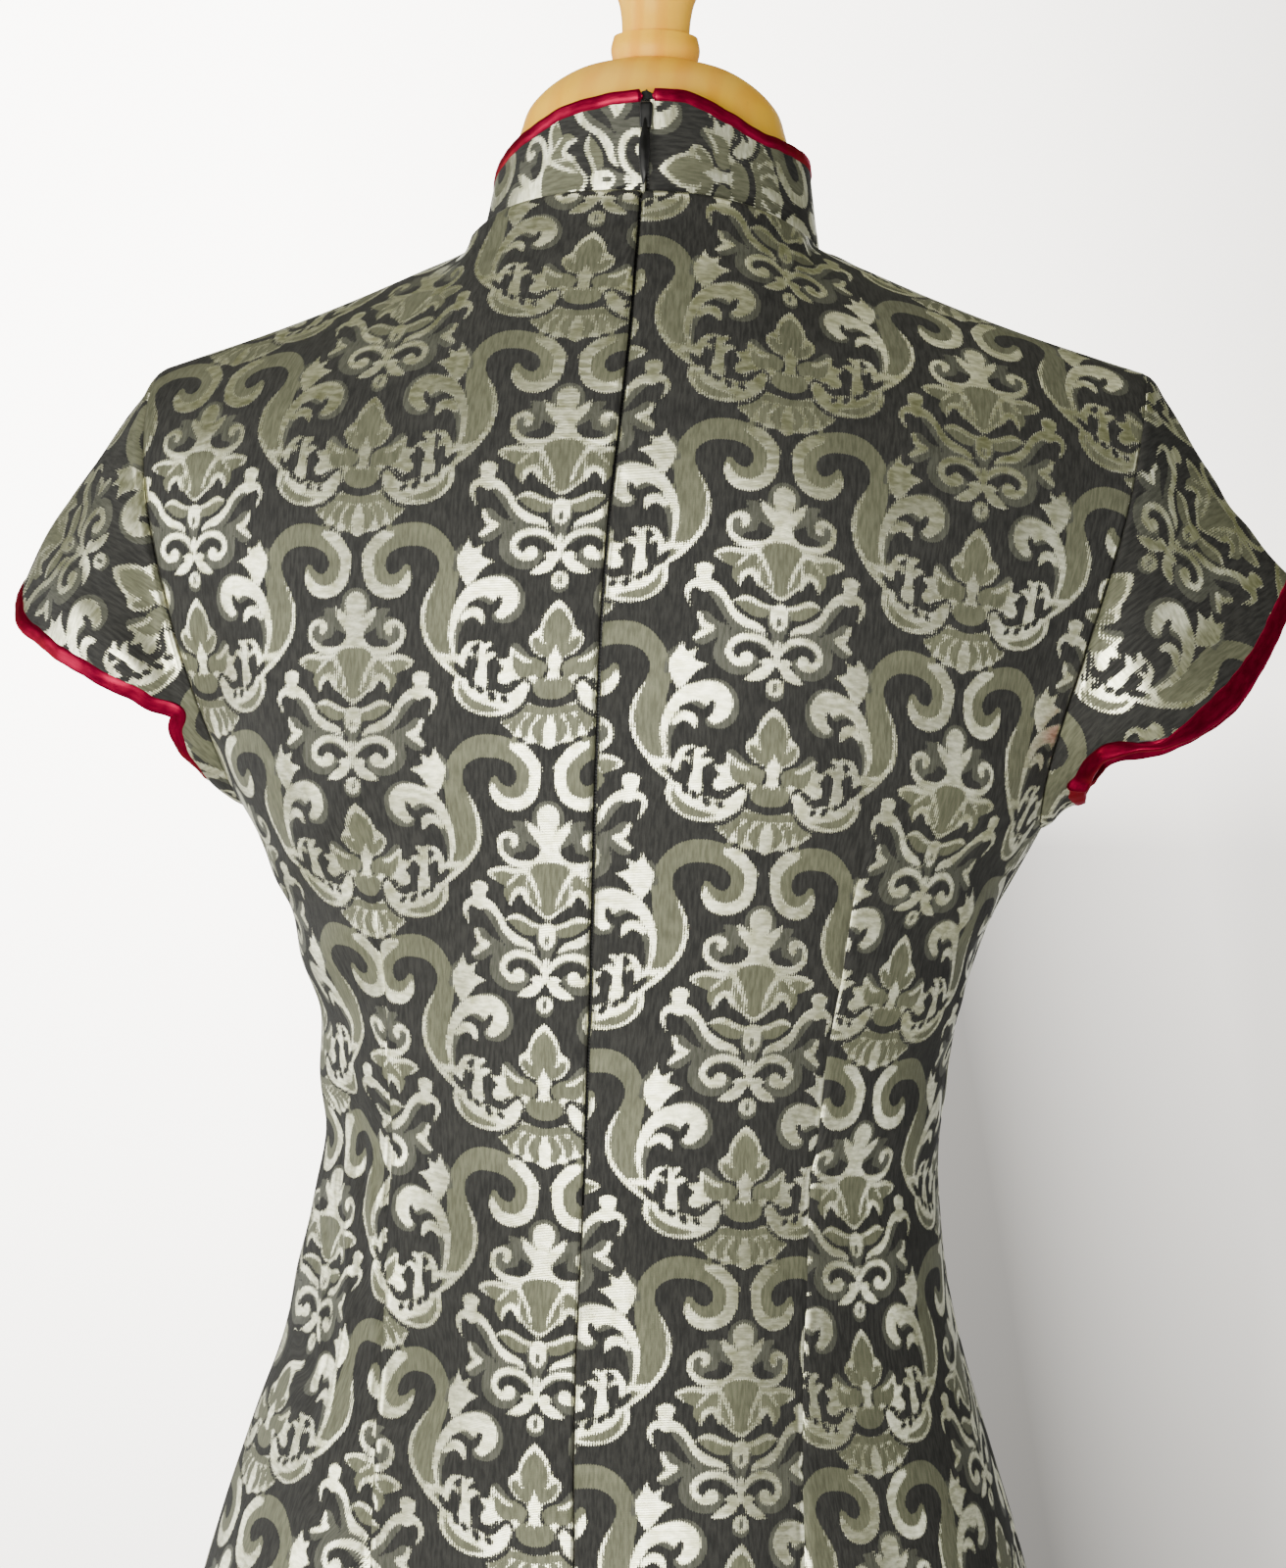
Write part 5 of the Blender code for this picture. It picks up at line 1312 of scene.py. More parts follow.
def back_panel(side):
    name = "left" if side > 0 else "right"
    rows = half_panel(True, side)
    coarse = array(rows)
    source = body_half(True)
    before = []
    for row in source:
        z = row[0].z
        rate = (on_row(row, 0.05) - row[0]).length / 0.05
        before.append(tuple(on_row(row, -1 / COLUMNS + side * read(BACK_SEAM, z, 1) / rate)))
    before = np.array(before)
    other = array(half_panel(False, side))
    after = 2 * coarse[:, -1] - coarse[:, -2]
    after[: LOW_ROWS + 1] = other[: LOW_ROWS + 1, -2]
    column = finer(coarse, np.linspace(0, len(coarse) - 1, 1500), [4.0], before, after)[:, 0]
    run = np.concatenate([[0], np.cumsum(np.linalg.norm(np.diff(column, axis=0), axis=1))])
    at = np.linspace(0, len(coarse) - 1, 1500)
    height = column[:, 2]

    def spacing(r):
        z = np.interp(r, at, height)
        return 0.00112 + 0.00135 * np.clip((0.89 - z) / 0.06, 0, 1)

    rows_at = even_steps(run, at, spacing)
    # columns meet at the dart's line
    wide = finer(coarse, rows_at, np.linspace(0, COLUMNS, 201), before, after)
    s = lengths(wide, 1)
    z = wide[:, :, 2]
    dart_at = np.array([np.interp(along(DART[side], z[r, 90], 1), s[r], np.linspace(0, COLUMNS, 201)) for r in range(len(s))])
    n_in, n_out = 72, 66
    inner = dart_at[:, None] * np.linspace(0, 1, n_in + 1)[None]
    outer = dart_at[:, None] + (COLUMNS - dart_at[:, None]) * np.linspace(0, 1, n_out + 1)[None]
    columns_at = np.concatenate([inner, outer], 1)
    p = finer(coarse, rows_at, columns_at, before, after)
    flat, fr, fc = flat_places(coarse, LOW_ROWS, 0.0)
    uv = finer(flat, rows_at / 0.5, columns_at / 0.5)
    intake = along(DART[side], p[:, n_in, 2], 2) * 1000
    uv[:, n_in + 1 :, 0] += intake[:, None]
    shift = along(LINE_FROM_SEAM[side], p[:, n_in // 2, 2], 1)
    uv[..., 0] -= shift[:, None]
    uv[..., 1] += APEX_FROM_UNDERARM[side]
    z = p[..., 2]
    share = np.clip(uv[..., 0] / REPEAT_U, 0.0, 2.0)
    for k in (0, 1):
        first, next_ = eased(EASED[side], z, 1 + k), eased(EASED[side], z, 3 + k)
        uv[..., k] += first + (next_ - first) * share
    past = lengths(p, 1) * 1000
    past = past - past[:, n_in : n_in + 1]
    if side > 0:
        across, up = taken_in(np.clip(past, 0, 60), z)
        uv[:, n_in + 1 :, 0] += across[:, n_in + 1 :]
        uv[:, n_in + 1 :, 1] += up[:, n_in + 1 :]
        near = np.exp(-(((past + 2) / 28) ** 2) - ((z - 0.966) / 0.018) ** 2)
        uv[:, : n_in + 1, 0] += 12.0 * near[:, : n_in + 1]

    n = grid_normals(np.delete(p, n_in + 1, 1), from_axis)
    n = np.insert(n, n_in + 1, n[:, n_in], 1)
    run = lengths(p, 1)
    rise = lengths(p, 0)
    out = crease(p, BACK_CREASES[side])
    if side > 0:
        for s, at, lean, width, length, far in GATHERS:
            line = (z - at) * 1000
            out += far * 0.001 * np.exp(-(((past - s - lean * line) / width) ** 2) - (line / length) ** 2) * (past > 0)
        from_seam = run[:, -1:] - run
        out += eased(STANDS_OUT, z, 1, 0.010) * np.exp(-(((from_seam - 0.022) / 0.021) ** 2))
    out *= np.clip(run / 0.02, 0, 1) * np.clip((run[:, -1:] - run) / 0.012, 0, 1)
    out *= np.clip((rise[-1:] - rise) / 0.03, 0, 1)
    # the dart's stitched line, and the pull of its threads
    gap = np.abs(run - run[:, n_in : n_in + 1])
    held = np.clip(intake / 1.5, 0, 1)[:, None]
    out -= held * (0.0007 * np.exp(-((gap / 0.0011) ** 2)) - 0.0002 * np.exp(-((gap - 0.003) / 0.002) ** 2))
    # puckers along the middle seam
    puck = 0.00022 * np.sin(p[..., 2] * 2 * math.pi / 0.013 + 2.2 * np.sin(p[..., 2] * 47.0)) * np.exp(-run / 0.006)
    out += puck * np.clip(run / 0.0015, 0, 1)
    shut = np.clip((1.092 - z) / 0.035, 0, 1)
    out -= rolled(run, 0.0018 - 0.0009 * shut, 0.0008 - 0.00055 * shut) + rolled(run[:, -1:] - run, 0.0014, 0.0005) + rolled(rise[-1:] - rise, 0.0012, 0.0004)
    out -= rolled(rise, 0.0016, 0.0006)
    p = p + n * out[..., None]
    if side < 0:
        p, n = p * [-1, 1, 1], n * [-1, 1, 1]
    full_p, full_n, full_uv = turn_edges(p, n, uv)
    cut = 2 + n_in + 1
    ob = cloth_mesh(
        "back_%s_cloth" % name,
        [(full_p[:, :cut], full_uv[:, :cut], from_axis), (full_p[:, cut:], full_uv[:, cut:], from_axis)],
        (2, 2),
    )
    rows_n, left_n = full_p.shape[0], cut
    first = rows_n * left_n
    taken = np.concatenate([[0, 0], intake, [0, 0]])
    joined = set()
    for r in range(rows_n):
        if taken[r] < 0.05:
            joined.add(r * left_n + left_n - 1)
            joined.add(first + r * (full_p.shape[1] - left_n))
    bm = bmesh.new()
    bm.from_mesh(ob.data)
    bm.verts.ensure_lookup_table()
    bmesh.ops.remove_doubles(bm, verts=[bm.verts[i] for i in joined], dist=1e-5)
    bm.to_mesh(ob.data)
    bm.free()
    ob.data.materials.append(DAMASK)
    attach(ob, "dressed_form")
    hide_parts("back_" + name)
    PIECES["back_" + name] = (ob, p, uv)
    reverse("back_%s_reverse" % name, p, n, uv, ob)
    return ob


def reverse(name, p, n, uv, cloth, step=6, depth=0.00135, ring=False, outward=from_axis):
    """The cloth's other side, a little inside it and coarser."""
    rows = sorted(set(list(range(0, p.shape[0], step)) + [p.shape[0] - 1]))
    columns = sorted(set(list(range(0, p.shape[1], step)) + [p.shape[1] - 1]))
    q = (p - n * depth)[np.ix_(rows, columns)]
    at = uv[np.ix_(rows, columns)]
    ob = cloth_mesh(name, [(q, at, lambda x: -outward(x))])
    ob.data.materials.append(REVERSE)
    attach(ob, "dressed_form")
    REVERSES.setdefault(cloth.name, []).append(ob)
    return ob


REVERSES = {}


def front_panel():
    rows = half_panel(False, 1)
    half = array(rows)
    coarse = np.concatenate([(half * [-1, 1, 1])[:, :0:-1], half], 1)
    other = array(half_panel(True, 1))
    other_right = array(half_panel(True, -1)) * [-1, 1, 1]
    after = 2 * coarse[:, -1] - coarse[:, -2]
    before = 2 * coarse[:, 0] - coarse[:, 1]
    after[: LOW_ROWS + 1] = other[: LOW_ROWS + 1, -2]
    before[: LOW_ROWS + 1] = other_right[: LOW_ROWS + 1, -2]
    column = finer(coarse, np.linspace(0, len(coarse) - 1, 1500), [COLUMNS + 5.0], before, after)[:, 0]
    run = np.concatenate([[0], np.cumsum(np.linalg.norm(np.diff(column, axis=0), axis=1))])
    at = np.linspace(0, len(coarse) - 1, 1500)
    height = column[:, 2]

    def spacing(r):
        z = np.interp(r, at, height)
        return 0.00165 + 0.0011 * np.clip((0.80 - z) / 0.06, 0, 1)

    rows_at = even_steps(run, at, spacing)
    columns_at = np.linspace(0, 2 * COLUMNS, 181)
    p = finer(coarse, rows_at, columns_at, before, after)
    flat, fr, fc = flat_places(half, LOW_ROWS, 0.0)
    flat = np.concatenate([(flat * [-1, 1])[:, :0:-1], flat], 1)
    uv = finer(flat, rows_at / 0.5, columns_at / 0.5)
    uv[..., 1] += 42.0
    n = grid_normals(p, from_axis)
    run, rise = lengths(p, 1), lengths(p, 0)
    out = crease(p, FRONT_CREASES)
    out *= np.clip(run / 0.012, 0, 1) * np.clip((run[:, -1:] - run) / 0.012, 0, 1)
    out *= np.clip((rise[-1:] - rise) / 0.03, 0, 1)
    out -= rolled(run, 0.0014, 0.0005) + rolled(run[:, -1:] - run, 0.0014, 0.0005) + rolled(rise[-1:] - rise, 0.0012, 0.0004) + rolled(rise, 0.0016, 0.0006)
    p = p + n * out[..., None]
    full_p, full_n, full_uv = turn_edges(p, n, uv)
    ob = cloth_mesh("front_cloth", [(full_p, full_uv, from_axis)], (2, 1))
    ob.data.materials.append(DAMASK)
    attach(ob, "dressed_form")
    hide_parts("front")
    PIECES["front"] = (ob, p, uv)
    reverse("front_reverse", p, n, uv, ob, 5)
    return ob


# ---------------------------------------------------------------- sleeves
def armhole(q):
    back = q <= 0.5
    r = 2 * q if back else 2 * (1 - q)
    return high_point(1.0, 0.5 * (1 - math.cos(math.pi * r)), back)


def sleeve_hem(q, side):
    r = q if q <= 0.5 else 1 - q
    y = read(SLEEVE_HEM, r, 2)
    return Vector((read(SLEEVE_HEM, r, 1), SLEEVE_MIDDLE_Y + (y if q <= 0.5 else -y), read(SLEEVE_HEM, r, 3) + side * read(SLEEVE_HEM, r, 4)))


def sleeve_point(q, v, side):
    a, h = armhole(q), sleeve_hem(q, side)
    line = h - a
    start = a + line.normalized() * SLEEVE_START
    out = (a + h) * 0.5 - Vector((0.190, SLEEVE_MIDDLE_Y, 1.250))
    out = out - line * (out.dot(line) / line.length_squared)
    puff = SLEEVE_PUFF[side] * math.sin(math.pi * v * v) * smooth(line.length / 0.05)
    return start.lerp(h, v) + out.normalized() * puff


SLEEVE_CREASES = {
    1: (
        # x, z, angle from level, half length, half width, how far out
        (0.196, 1.290, 52, 0.045, 0.009, 0.0014),
        (0.212, 1.262, 48, 0.040, 0.008, -0.0013),
        (0.186, 1.232, 74, 0.030, 0.008, -0.0013),
        (0.200, 1.325, 40, 0.040, 0.010, 0.0012),
    ),
    -1: (
        # x, z, angle from level, half length, half width, how far out
        (0.198, 1.300, 46, 0.045, 0.010, -0.0013),
        (0.214, 1.270, 42, 0.042, 0.009, 0.0014),
        (0.190, 1.236, 70, 0.030, 0.008, 0.0013),
        (0.224, 1.300, 30, 0.036, 0.008, -0.0010),
    ),
}
# damask on the sleeves, which are cut across the cloth: its turn, then the place of the ridge's top on it
SLEEVE_CUT = {
    # side: degrees, across, up
    1: (-101.4, -83.7, 55.5),
    -1: (-89.2, -61.9, 71.6),
}

# where the sleeves' bindings are pulled narrow, and the bunched end under the right arm
BUNCHED = {
    1: (((0.1765, 0.028, 1.198), 0.007, 0.82, 1.0), ((0.1735, 0.0, 1.186), 0.010, 0.60, 1.2)),
    -1: (((-0.2310, 0.0360, 1.2300), 0.0180, 1.30, 1.0), ((-0.2030, 0.0500, 1.2115), 0.0110, 0.34, 1.0), ((-0.1835, 0.0400, 1.2040), 0.0060, 0.80, 1.2), ((-0.1757, 0.0230, 1.1935), 0.0028, 1.15, 3.0), ((-0.1735, -0.0030, 1.1860), 0.0100, 0.55, 1.1)),
}
# small shifts of a sleeve's hem: place, reach, shift
SHIFTED = {
    1: (((0.1825, 0.0390, 1.2130), 0.0055, (-0.0058, 0.0010, 0.0008)), ((0.1880, 0.0440, 1.2190), 0.0060, (-0.0010, 0.0, -0.0012)), ((0.2440, 0.0200, 1.2530), 0.0150, (0.0036, 0.0010, -0.0024)), ((0.2540, 0.0080, 1.2640), 0.0120, (0.0012, 0.0, -0.0010))),
    -1: (((-0.1979, 0.0485, 1.2094), 0.0060, (0.0, 0.0004, 0.0014)), ((-0.2180, 0.0460, 1.2170), 0.0080, (0.0, 0.0, -0.0008))),
}


def sleeve(side):
    name = "left" if side > 0 else "right"
    coarse = np.array([[tuple(sleeve_point(j / SLEEVE_RING, k / SLEEVE_ROWS, side)) for j in range(SLEEVE_RING + 1)] for k in range(SLEEVE_ROWS + 1)])
    rows_at = np.linspace(0, SLEEVE_ROWS, 85)
    line = finer(coarse, [3.0], np.linspace(0, SLEEVE_RING, 1500), ring=True)[0]
    run = np.concatenate([[0], np.cumsum(np.linalg.norm(np.diff(line, axis=0), axis=1))])
    columns_at = even_steps(run, np.linspace(0, SLEEVE_RING, 1500), lambda r: np.full(np.shape(r), 0.00125))
    exact = np.array([[tuple(sleeve_point(c / SLEEVE_RING, r / SLEEVE_ROWS, side)) for c in columns_at] for r in rows_at[::6]])
    i, w = spline_weights(len(exact), rows_at / rows_at[6] if rows_at[6] else rows_at)
    tall = np.concatenate([(2 * exact[0] - exact[1])[None], exact, (2 * exact[-1] - exact[-2])[None]], 0)
    p = sum(tall[i + k] * w[:, k, None, None] for k in range(4))
    # cloth places: laid flat, cut open under the arm
    half_rows = np.arange(0, SLEEVE_ROWS + 0.25, 0.5)
    half_columns = np.arange(0, SLEEVE_RING + 0.25, 0.5)
    mid = np.array([[tuple(sleeve_point(c / SLEEVE_RING, r / SLEEVE_ROWS, side)) for c in half_columns] for r in half_rows]) * 1000
    s, t = lengths(mid, 1), lengths(mid, 0)
    centre = s[:, len(half_columns) // 2][:, None]
    start = np.stack([s - centre, -t], 2)
    flat = flatten(mid, start, np.ones(s.shape, bool), 120)
    top = flat[0, len(half_columns) // 2]
    hem = flat[-1, len(half_columns) // 2]
    turn = math.atan2(hem[0] - top[0], -(hem[1] - top[1])) + math.radians(SLEEVE_CUT[side][0])
    c, sn = math.cos(turn), math.sin(turn)
    rel = flat - top
    flat = np.stack([rel[..., 0] * c + rel[..., 1] * sn, -rel[..., 0] * sn + rel[..., 1] * c], 2)
    uv = finer(flat, rows_at / 0.5, columns_at / 0.5)
    uv[..., 0] += SLEEVE_CUT[side][1]
    uv[..., 1] += SLEEVE_CUT[side][2]

    def out_of_arm(q):
        o = q.copy()
        o[..., 0] = np.abs(q[..., 0]) - 0.190
        if (q[..., 0] < 0).mean() > 0.5:
            o[..., 0] *= -1
        o[..., 1] -= SLEEVE_MIDDLE_Y
        o[..., 2] -= 1.235
        return o

    n = grid_normals(p, out_of_arm)
    n[:, 0] = n[:, -1] = (n[:, 0] + n[:, -1]) / np.linalg.norm(n[:, 0] + n[:, -1], axis=1, keepdims=True)
    run, rise = lengths(p, 1), lengths(p, 0)
    facing_back = np.where(p[..., 1] > SLEEVE_MIDDLE_Y, 1.0, 0.7)
    out = crease(p, SLEEVE_CREASES[side]) * facing_back
    out *= np.clip(rise / 0.012, 0, 1)
    out += 0.0006 * np.exp(-(((rise - 0.005) / 0.004) ** 2)) * np.clip(rise / 0.003, 0, 1)
    out -= rolled(rise, 0.0016, 0.0005)
    p = p + n * out[..., None]
    if side < 0:
        p, n = p * [-1, 1, 1], n * [-1, 1, 1]
    hem_share = np.clip(1 - (rise[-1:] - rise) / 0.022, 0, 1) ** 2
    for where, reach, shift in SHIFTED[side]:
        near = np.exp(-((np.linalg.norm(p - np.array(where), axis=2) / reach) ** 2)) * hem_share
        p = p + near[..., None] * np.array(shift)
    full_p, full_n, full_uv = turn_edges(p, n, uv, start=False, end=False, top=False, back=0.004)
    ob = cloth_mesh("sleeve_%s_cloth" % name, [(full_p, full_uv, out_of_arm)], (2, 1))
    rows_n, cols_n = full_p.shape[:2]
    bm = bmesh.new()
    bm.from_mesh(ob.data)
    bm.verts.ensure_lookup_table()
    edge = [bm.verts[r * cols_n] for r in range(rows_n)] + [bm.verts[r * cols_n + cols_n - 1] for r in range(rows_n)]
    bmesh.ops.remove_doubles(bm, verts=edge, dist=1e-5)
    bm.to_mesh(ob.data)
    bm.free()
    ob.data.materials.append(DAMASK)
    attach(ob, "dressed_form")
    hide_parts("sleeve_" + name)
    PIECES["sleeve_" + name] = (ob, p, uv)
    reverse("sleeve_%s_reverse" % name, p, n, uv, ob, 4, outward=out_of_arm)
    band = binding("sleeve_binding_%s_satin" % name, p[-1], p[-1] - p[-4], n[-1], True, tall=0.0033 if side > 0 else 0.0037, uneven=BUNCHED[side])
    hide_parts("sleeve_binding_" + name)
    return ob


# ---------------------------------------------------------------- satin bindings
def binding(name, edge, away, normal, closed, tall=0.0028, thick=0.0013, ends=(0.0, 0.0), uneven=()):
    """A narrow band of satin wrapped over an edge: the edge's points, the way off the cloth and its outward normals.
    uneven lists places where the band is pulled narrow or bunched: place, reach, share of its width, share of its thickness."""
    if closed:
        edge, away, normal = edge[:-1], away[:-1], normal[:-1]
    ahead = np.roll(edge, -1, 0) if closed else np.concatenate([edge[1:], edge[-1:] * 2 - edge[-2:-1]])
    behind = np.roll(edge, 1, 0) if closed else np.concatenate([edge[:1] * 2 - edge[1:2], edge[:-1]])
    tangent = ahead - behind
    tangent /= np.linalg.norm(tangent, axis=1, keepdims=True)
    away = away - tangent * (away * tangent).sum(1, keepdims=True)
    away /= np.linalg.norm(away, axis=1, keepdims=True)
    side = normal - tangent * (normal * tangent).sum(1, keepdims=True) - away * (normal * away).sum(1, keepdims=True)
    side /= np.linalg.norm(side, axis=1, keepdims=True)
    wide, deep = np.full(len(edge), tall), np.full(len(edge), thick)
    for where, reach, share, swell_ in uneven:
        near = np.exp(-((np.linalg.norm(edge - np.array(where), axis=1) / reach) ** 2))
        wide *= 1 + (share - 1) * near
        deep *= 1 + (swell_ - 1) * near
    centre = edge + away * (0.0042 - wide)[:, None] - side * CLOTH * 0.5
    s = np.concatenate([[0], np.cumsum(np.linalg.norm(np.diff(centre, axis=0), axis=1))])
    around = 24
    a = 2 * math.pi * np.arange(around) / around
    ca, sa = np.cos(a), np.sin(a)
    square = 0.45
    across = np.sign(ca) * np.abs(ca) ** square
    out = np.sign(sa) * np.abs(sa) ** square
    pucker = 1 + 0.07 * np.sin(s * 2 * math.pi / 0.0091 + 1.7 * np.sin(s * 83.0)) * np.sin(s * 61.0 + 1.0)
    wobble = 0.00012 * np.sin(s * 2 * math.pi / 0.027) + 0.00010 * np.sin(s * 2 * math.pi / 0.0113 + 1.0)
    size = np.ones(len(s))
    for k, length in enumerate(ends):
        if length:
            d = s if k == 0 else s[-1] - s
            size = np.minimum(size, np.sqrt(np.clip(1 - (1 - np.clip(d / length, 0, 1)) ** 2, 0.0004, 1)))
    points = (
        centre[:, None]
        + away[:, None] * (across[None, :, None] * (wide * size)[:, None, None] + wobble[:, None, None])
        + side[:, None] * (out[None, :, None] * (deep * size * pucker)[:, None, None])
    )
    # the stitched edge where the band meets the cloth
    low = (across < -0.55)[None, :, None] * 1.0
    points -= side[:, None] * low * np.sign(out)[None, :, None] * 0.00025
    rows = len(points)
    verts = points.reshape(-1, 3)
    faces, uvs = [], []
    last = rows if closed else rows - 1
    length = s[-1] + (np.linalg.norm(centre[0] - centre[-1]) if closed else 0)
    for i in range(last):
        j = (i + 1) % rows
        s0, s1 = s[i], (s[j] if j else length)
        for k in range(around):
            l = (k + 1) % around
            faces.append((i * around + k, j * around + k, j * around + l, i * around + l))
            v0, v1 = k / around * 0.0125, (k + 1) / around * 0.0125
            uvs += [(s0, v0), (s1, v0), (s1, v1), (s0, v1)]
    if not closed:
        for i, flip in ((0, False), (rows - 1, True)):
            ring = [i * around + k for k in range(around)]
            faces.append(tuple(ring[::-1] if flip else ring))
            uvs += [(s[i], 0.0)] * around
    mesh = bpy.data.meshes.new(name)
    mesh.from_pydata([tuple(v) for v in verts], [], faces)
    mesh.uv_layers.new(name="cloth").uv.foreach_set("vector", np.array(uvs, np.float32).ravel())
    mesh.polygons.foreach_set("use_smooth", np.ones(len(mesh.polygons), bool))
    bm = bmesh.new()
    bm.from_mesh(mesh)
    bmesh.ops.recalc_face_normals(bm, faces=bm.faces)
    bm.to_mesh(mesh)
    bm.free()
    ob = bpy.data.objects.new(name, mesh)
    bpy.context.scene.collection.objects.link(ob)
    mesh.materials.append(SATIN)
    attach(ob, "dressed_form")
    BINDINGS[name] = ob
    return ob


BINDINGS = {}


# ---------------------------------------------------------------- collar
def collar_base(a):
    count = round(NECK_SHARE * COLUMNS)
    line = [top_edge(i / COLUMNS, True) for i in range(count + 1)]
    line += [top_edge(i / COLUMNS, False) for i in range(count - 1, -1, -1)]
    step = min(max(a / math.pi, 0.0), 1.0) * (len(line) - 1)
    i = min(int(step), len(line) - 2)
    p = Vector(line[i]).lerp(Vector(line[i + 1]), step - i)
    inward = COLLAR_BASE_HALF / NECK_HALF
    return Vector((p.x * inward, p.y * inward, p.z + COLLAR_RISE))


def collar_top(a, side):
    c, s = math.cos(a), math.sin(a)
    deep = COLLAR_TOP_BACK_Y if c >= 0 else COLLAR_TOP_FRONT_Y
    return Vector((COLLAR_TOP_HALF * s, NECK_Y * s + deep * abs(c), read(COLLAR_TOP, math.degrees(a), 1 if side > 0 else 2)))


def collar_grid(side, columns=COLLAR_COLUMNS, rows_n=COLLAR_ROWS):
    start = (side * read(BACK_SEAM, NECK_BACK_Z, 1) + ZIP_SEAM) / NECK_BACK_Y
    stop = math.pi - (2 * BINDING_R + 0.0014) / abs(NECK_FRONT_Y)
    corner = 0.5 * math.pi * COLLAR_CORNER
    rows = []
    for k in range(rows_n + 1):
        row = []
        for i in range(columns + 1):
            a = start + (stop - start) * (1 - (1 - i / columns) ** 1.15)
            near = max((a - (math.pi - corner)) / corner, 0.0)
            cut = 1.0 - 0.62 * (1.0 - math.sqrt(max(1.0 - near**2, 0.0)))
            if a < 0:
                low, high = collar_base(-a), collar_top(-a, -side)
                low.x, high.x = -low.x, -high.x
            else:
                low, high = collar_base(a), collar_top(a, side)
            row.append(low.lerp(high, k / rows_n * cut))
        rows.append(row)
    return array(rows)


# damask on the collar, cut across the cloth too: which way it turns, then the place of its lower edge at the zip
COLLAR_CUT = {1: (1, 5.0, 16.8), -1: (-1, -9.0, 4.4)}


def collar(side):
    name = "left" if side > 0 else "right"
    coarse = collar_grid(side)
    top_line = finer(coarse, [COLLAR_ROWS], np.linspace(0, COLLAR_COLUMNS, 1500))[0]
    run = np.concatenate([[0], np.cumsum(np.linalg.norm(np.diff(top_line, axis=0), axis=1))])
    columns_at = even_steps(run, np.linspace(0, COLLAR_COLUMNS, 1500), lambda r: np.full(np.shape(r), 0.00105))
    rows_at = np.linspace(0, COLLAR_ROWS, 48)
    before = coarse[:, 0] * 2 - coarse[:, 1]
    before[:, 1] = coarse[:, 1, 1]
    p = finer(coarse, rows_at, columns_at, before)
    s, t = lengths(p, 1), lengths(p, 0)
    turn, across, up = COLLAR_CUT[side]
    uv = np.stack([across - turn * t * 1000, up + turn * s * 1000], 2)
    n = grid_normals(p, from_axis)
    run, rise = s, t
    out = -rolled(run, 0.0016, 0.0008) - 0.0004 * np.clip(1 - rise / 0.004, 0, 1) ** 2
    p[..., 2] -= 0.0012 * np.clip(1 - rise / 0.006, 0, 1)
    # interfaced, so only long shallow waves
    out += 0.0004 * np.sin(run / 0.021 + rise / 0.03) * np.clip(rise / 0.01, 0, 1) * np.clip(run / 0.01, 0, 1)
    p = p + n * out[..., None]
    if side < 0:
        p, n = p * [-1, 1, 1], n * [-1, 1, 1]
    full_p, full_n, full_uv = turn_edges(p, n, uv, end=False, top=False, back=0.003)
    ob = cloth_mesh("collar_%s_cloth" % name, [(full_p, full_uv, from_axis)], (2, 1))
    ob.data.materials.append(DAMASK)
    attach(ob, "dressed_form")
    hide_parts("collar_" + name)
    PIECES["collar_" + name] = (ob, p, uv)
    reverse("collar_%s_reverse" % name, p, n, uv, ob, 4)
    keep = slice(1, None)
    band = binding("collar_binding_%s_satin" % name, p[-1][keep], (p[-1] - p[-5])[keep], n[-1][keep], False, tall=0.0026, ends=(0.0006, 0.0014))
    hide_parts("collar_binding_" + name)
    return ob


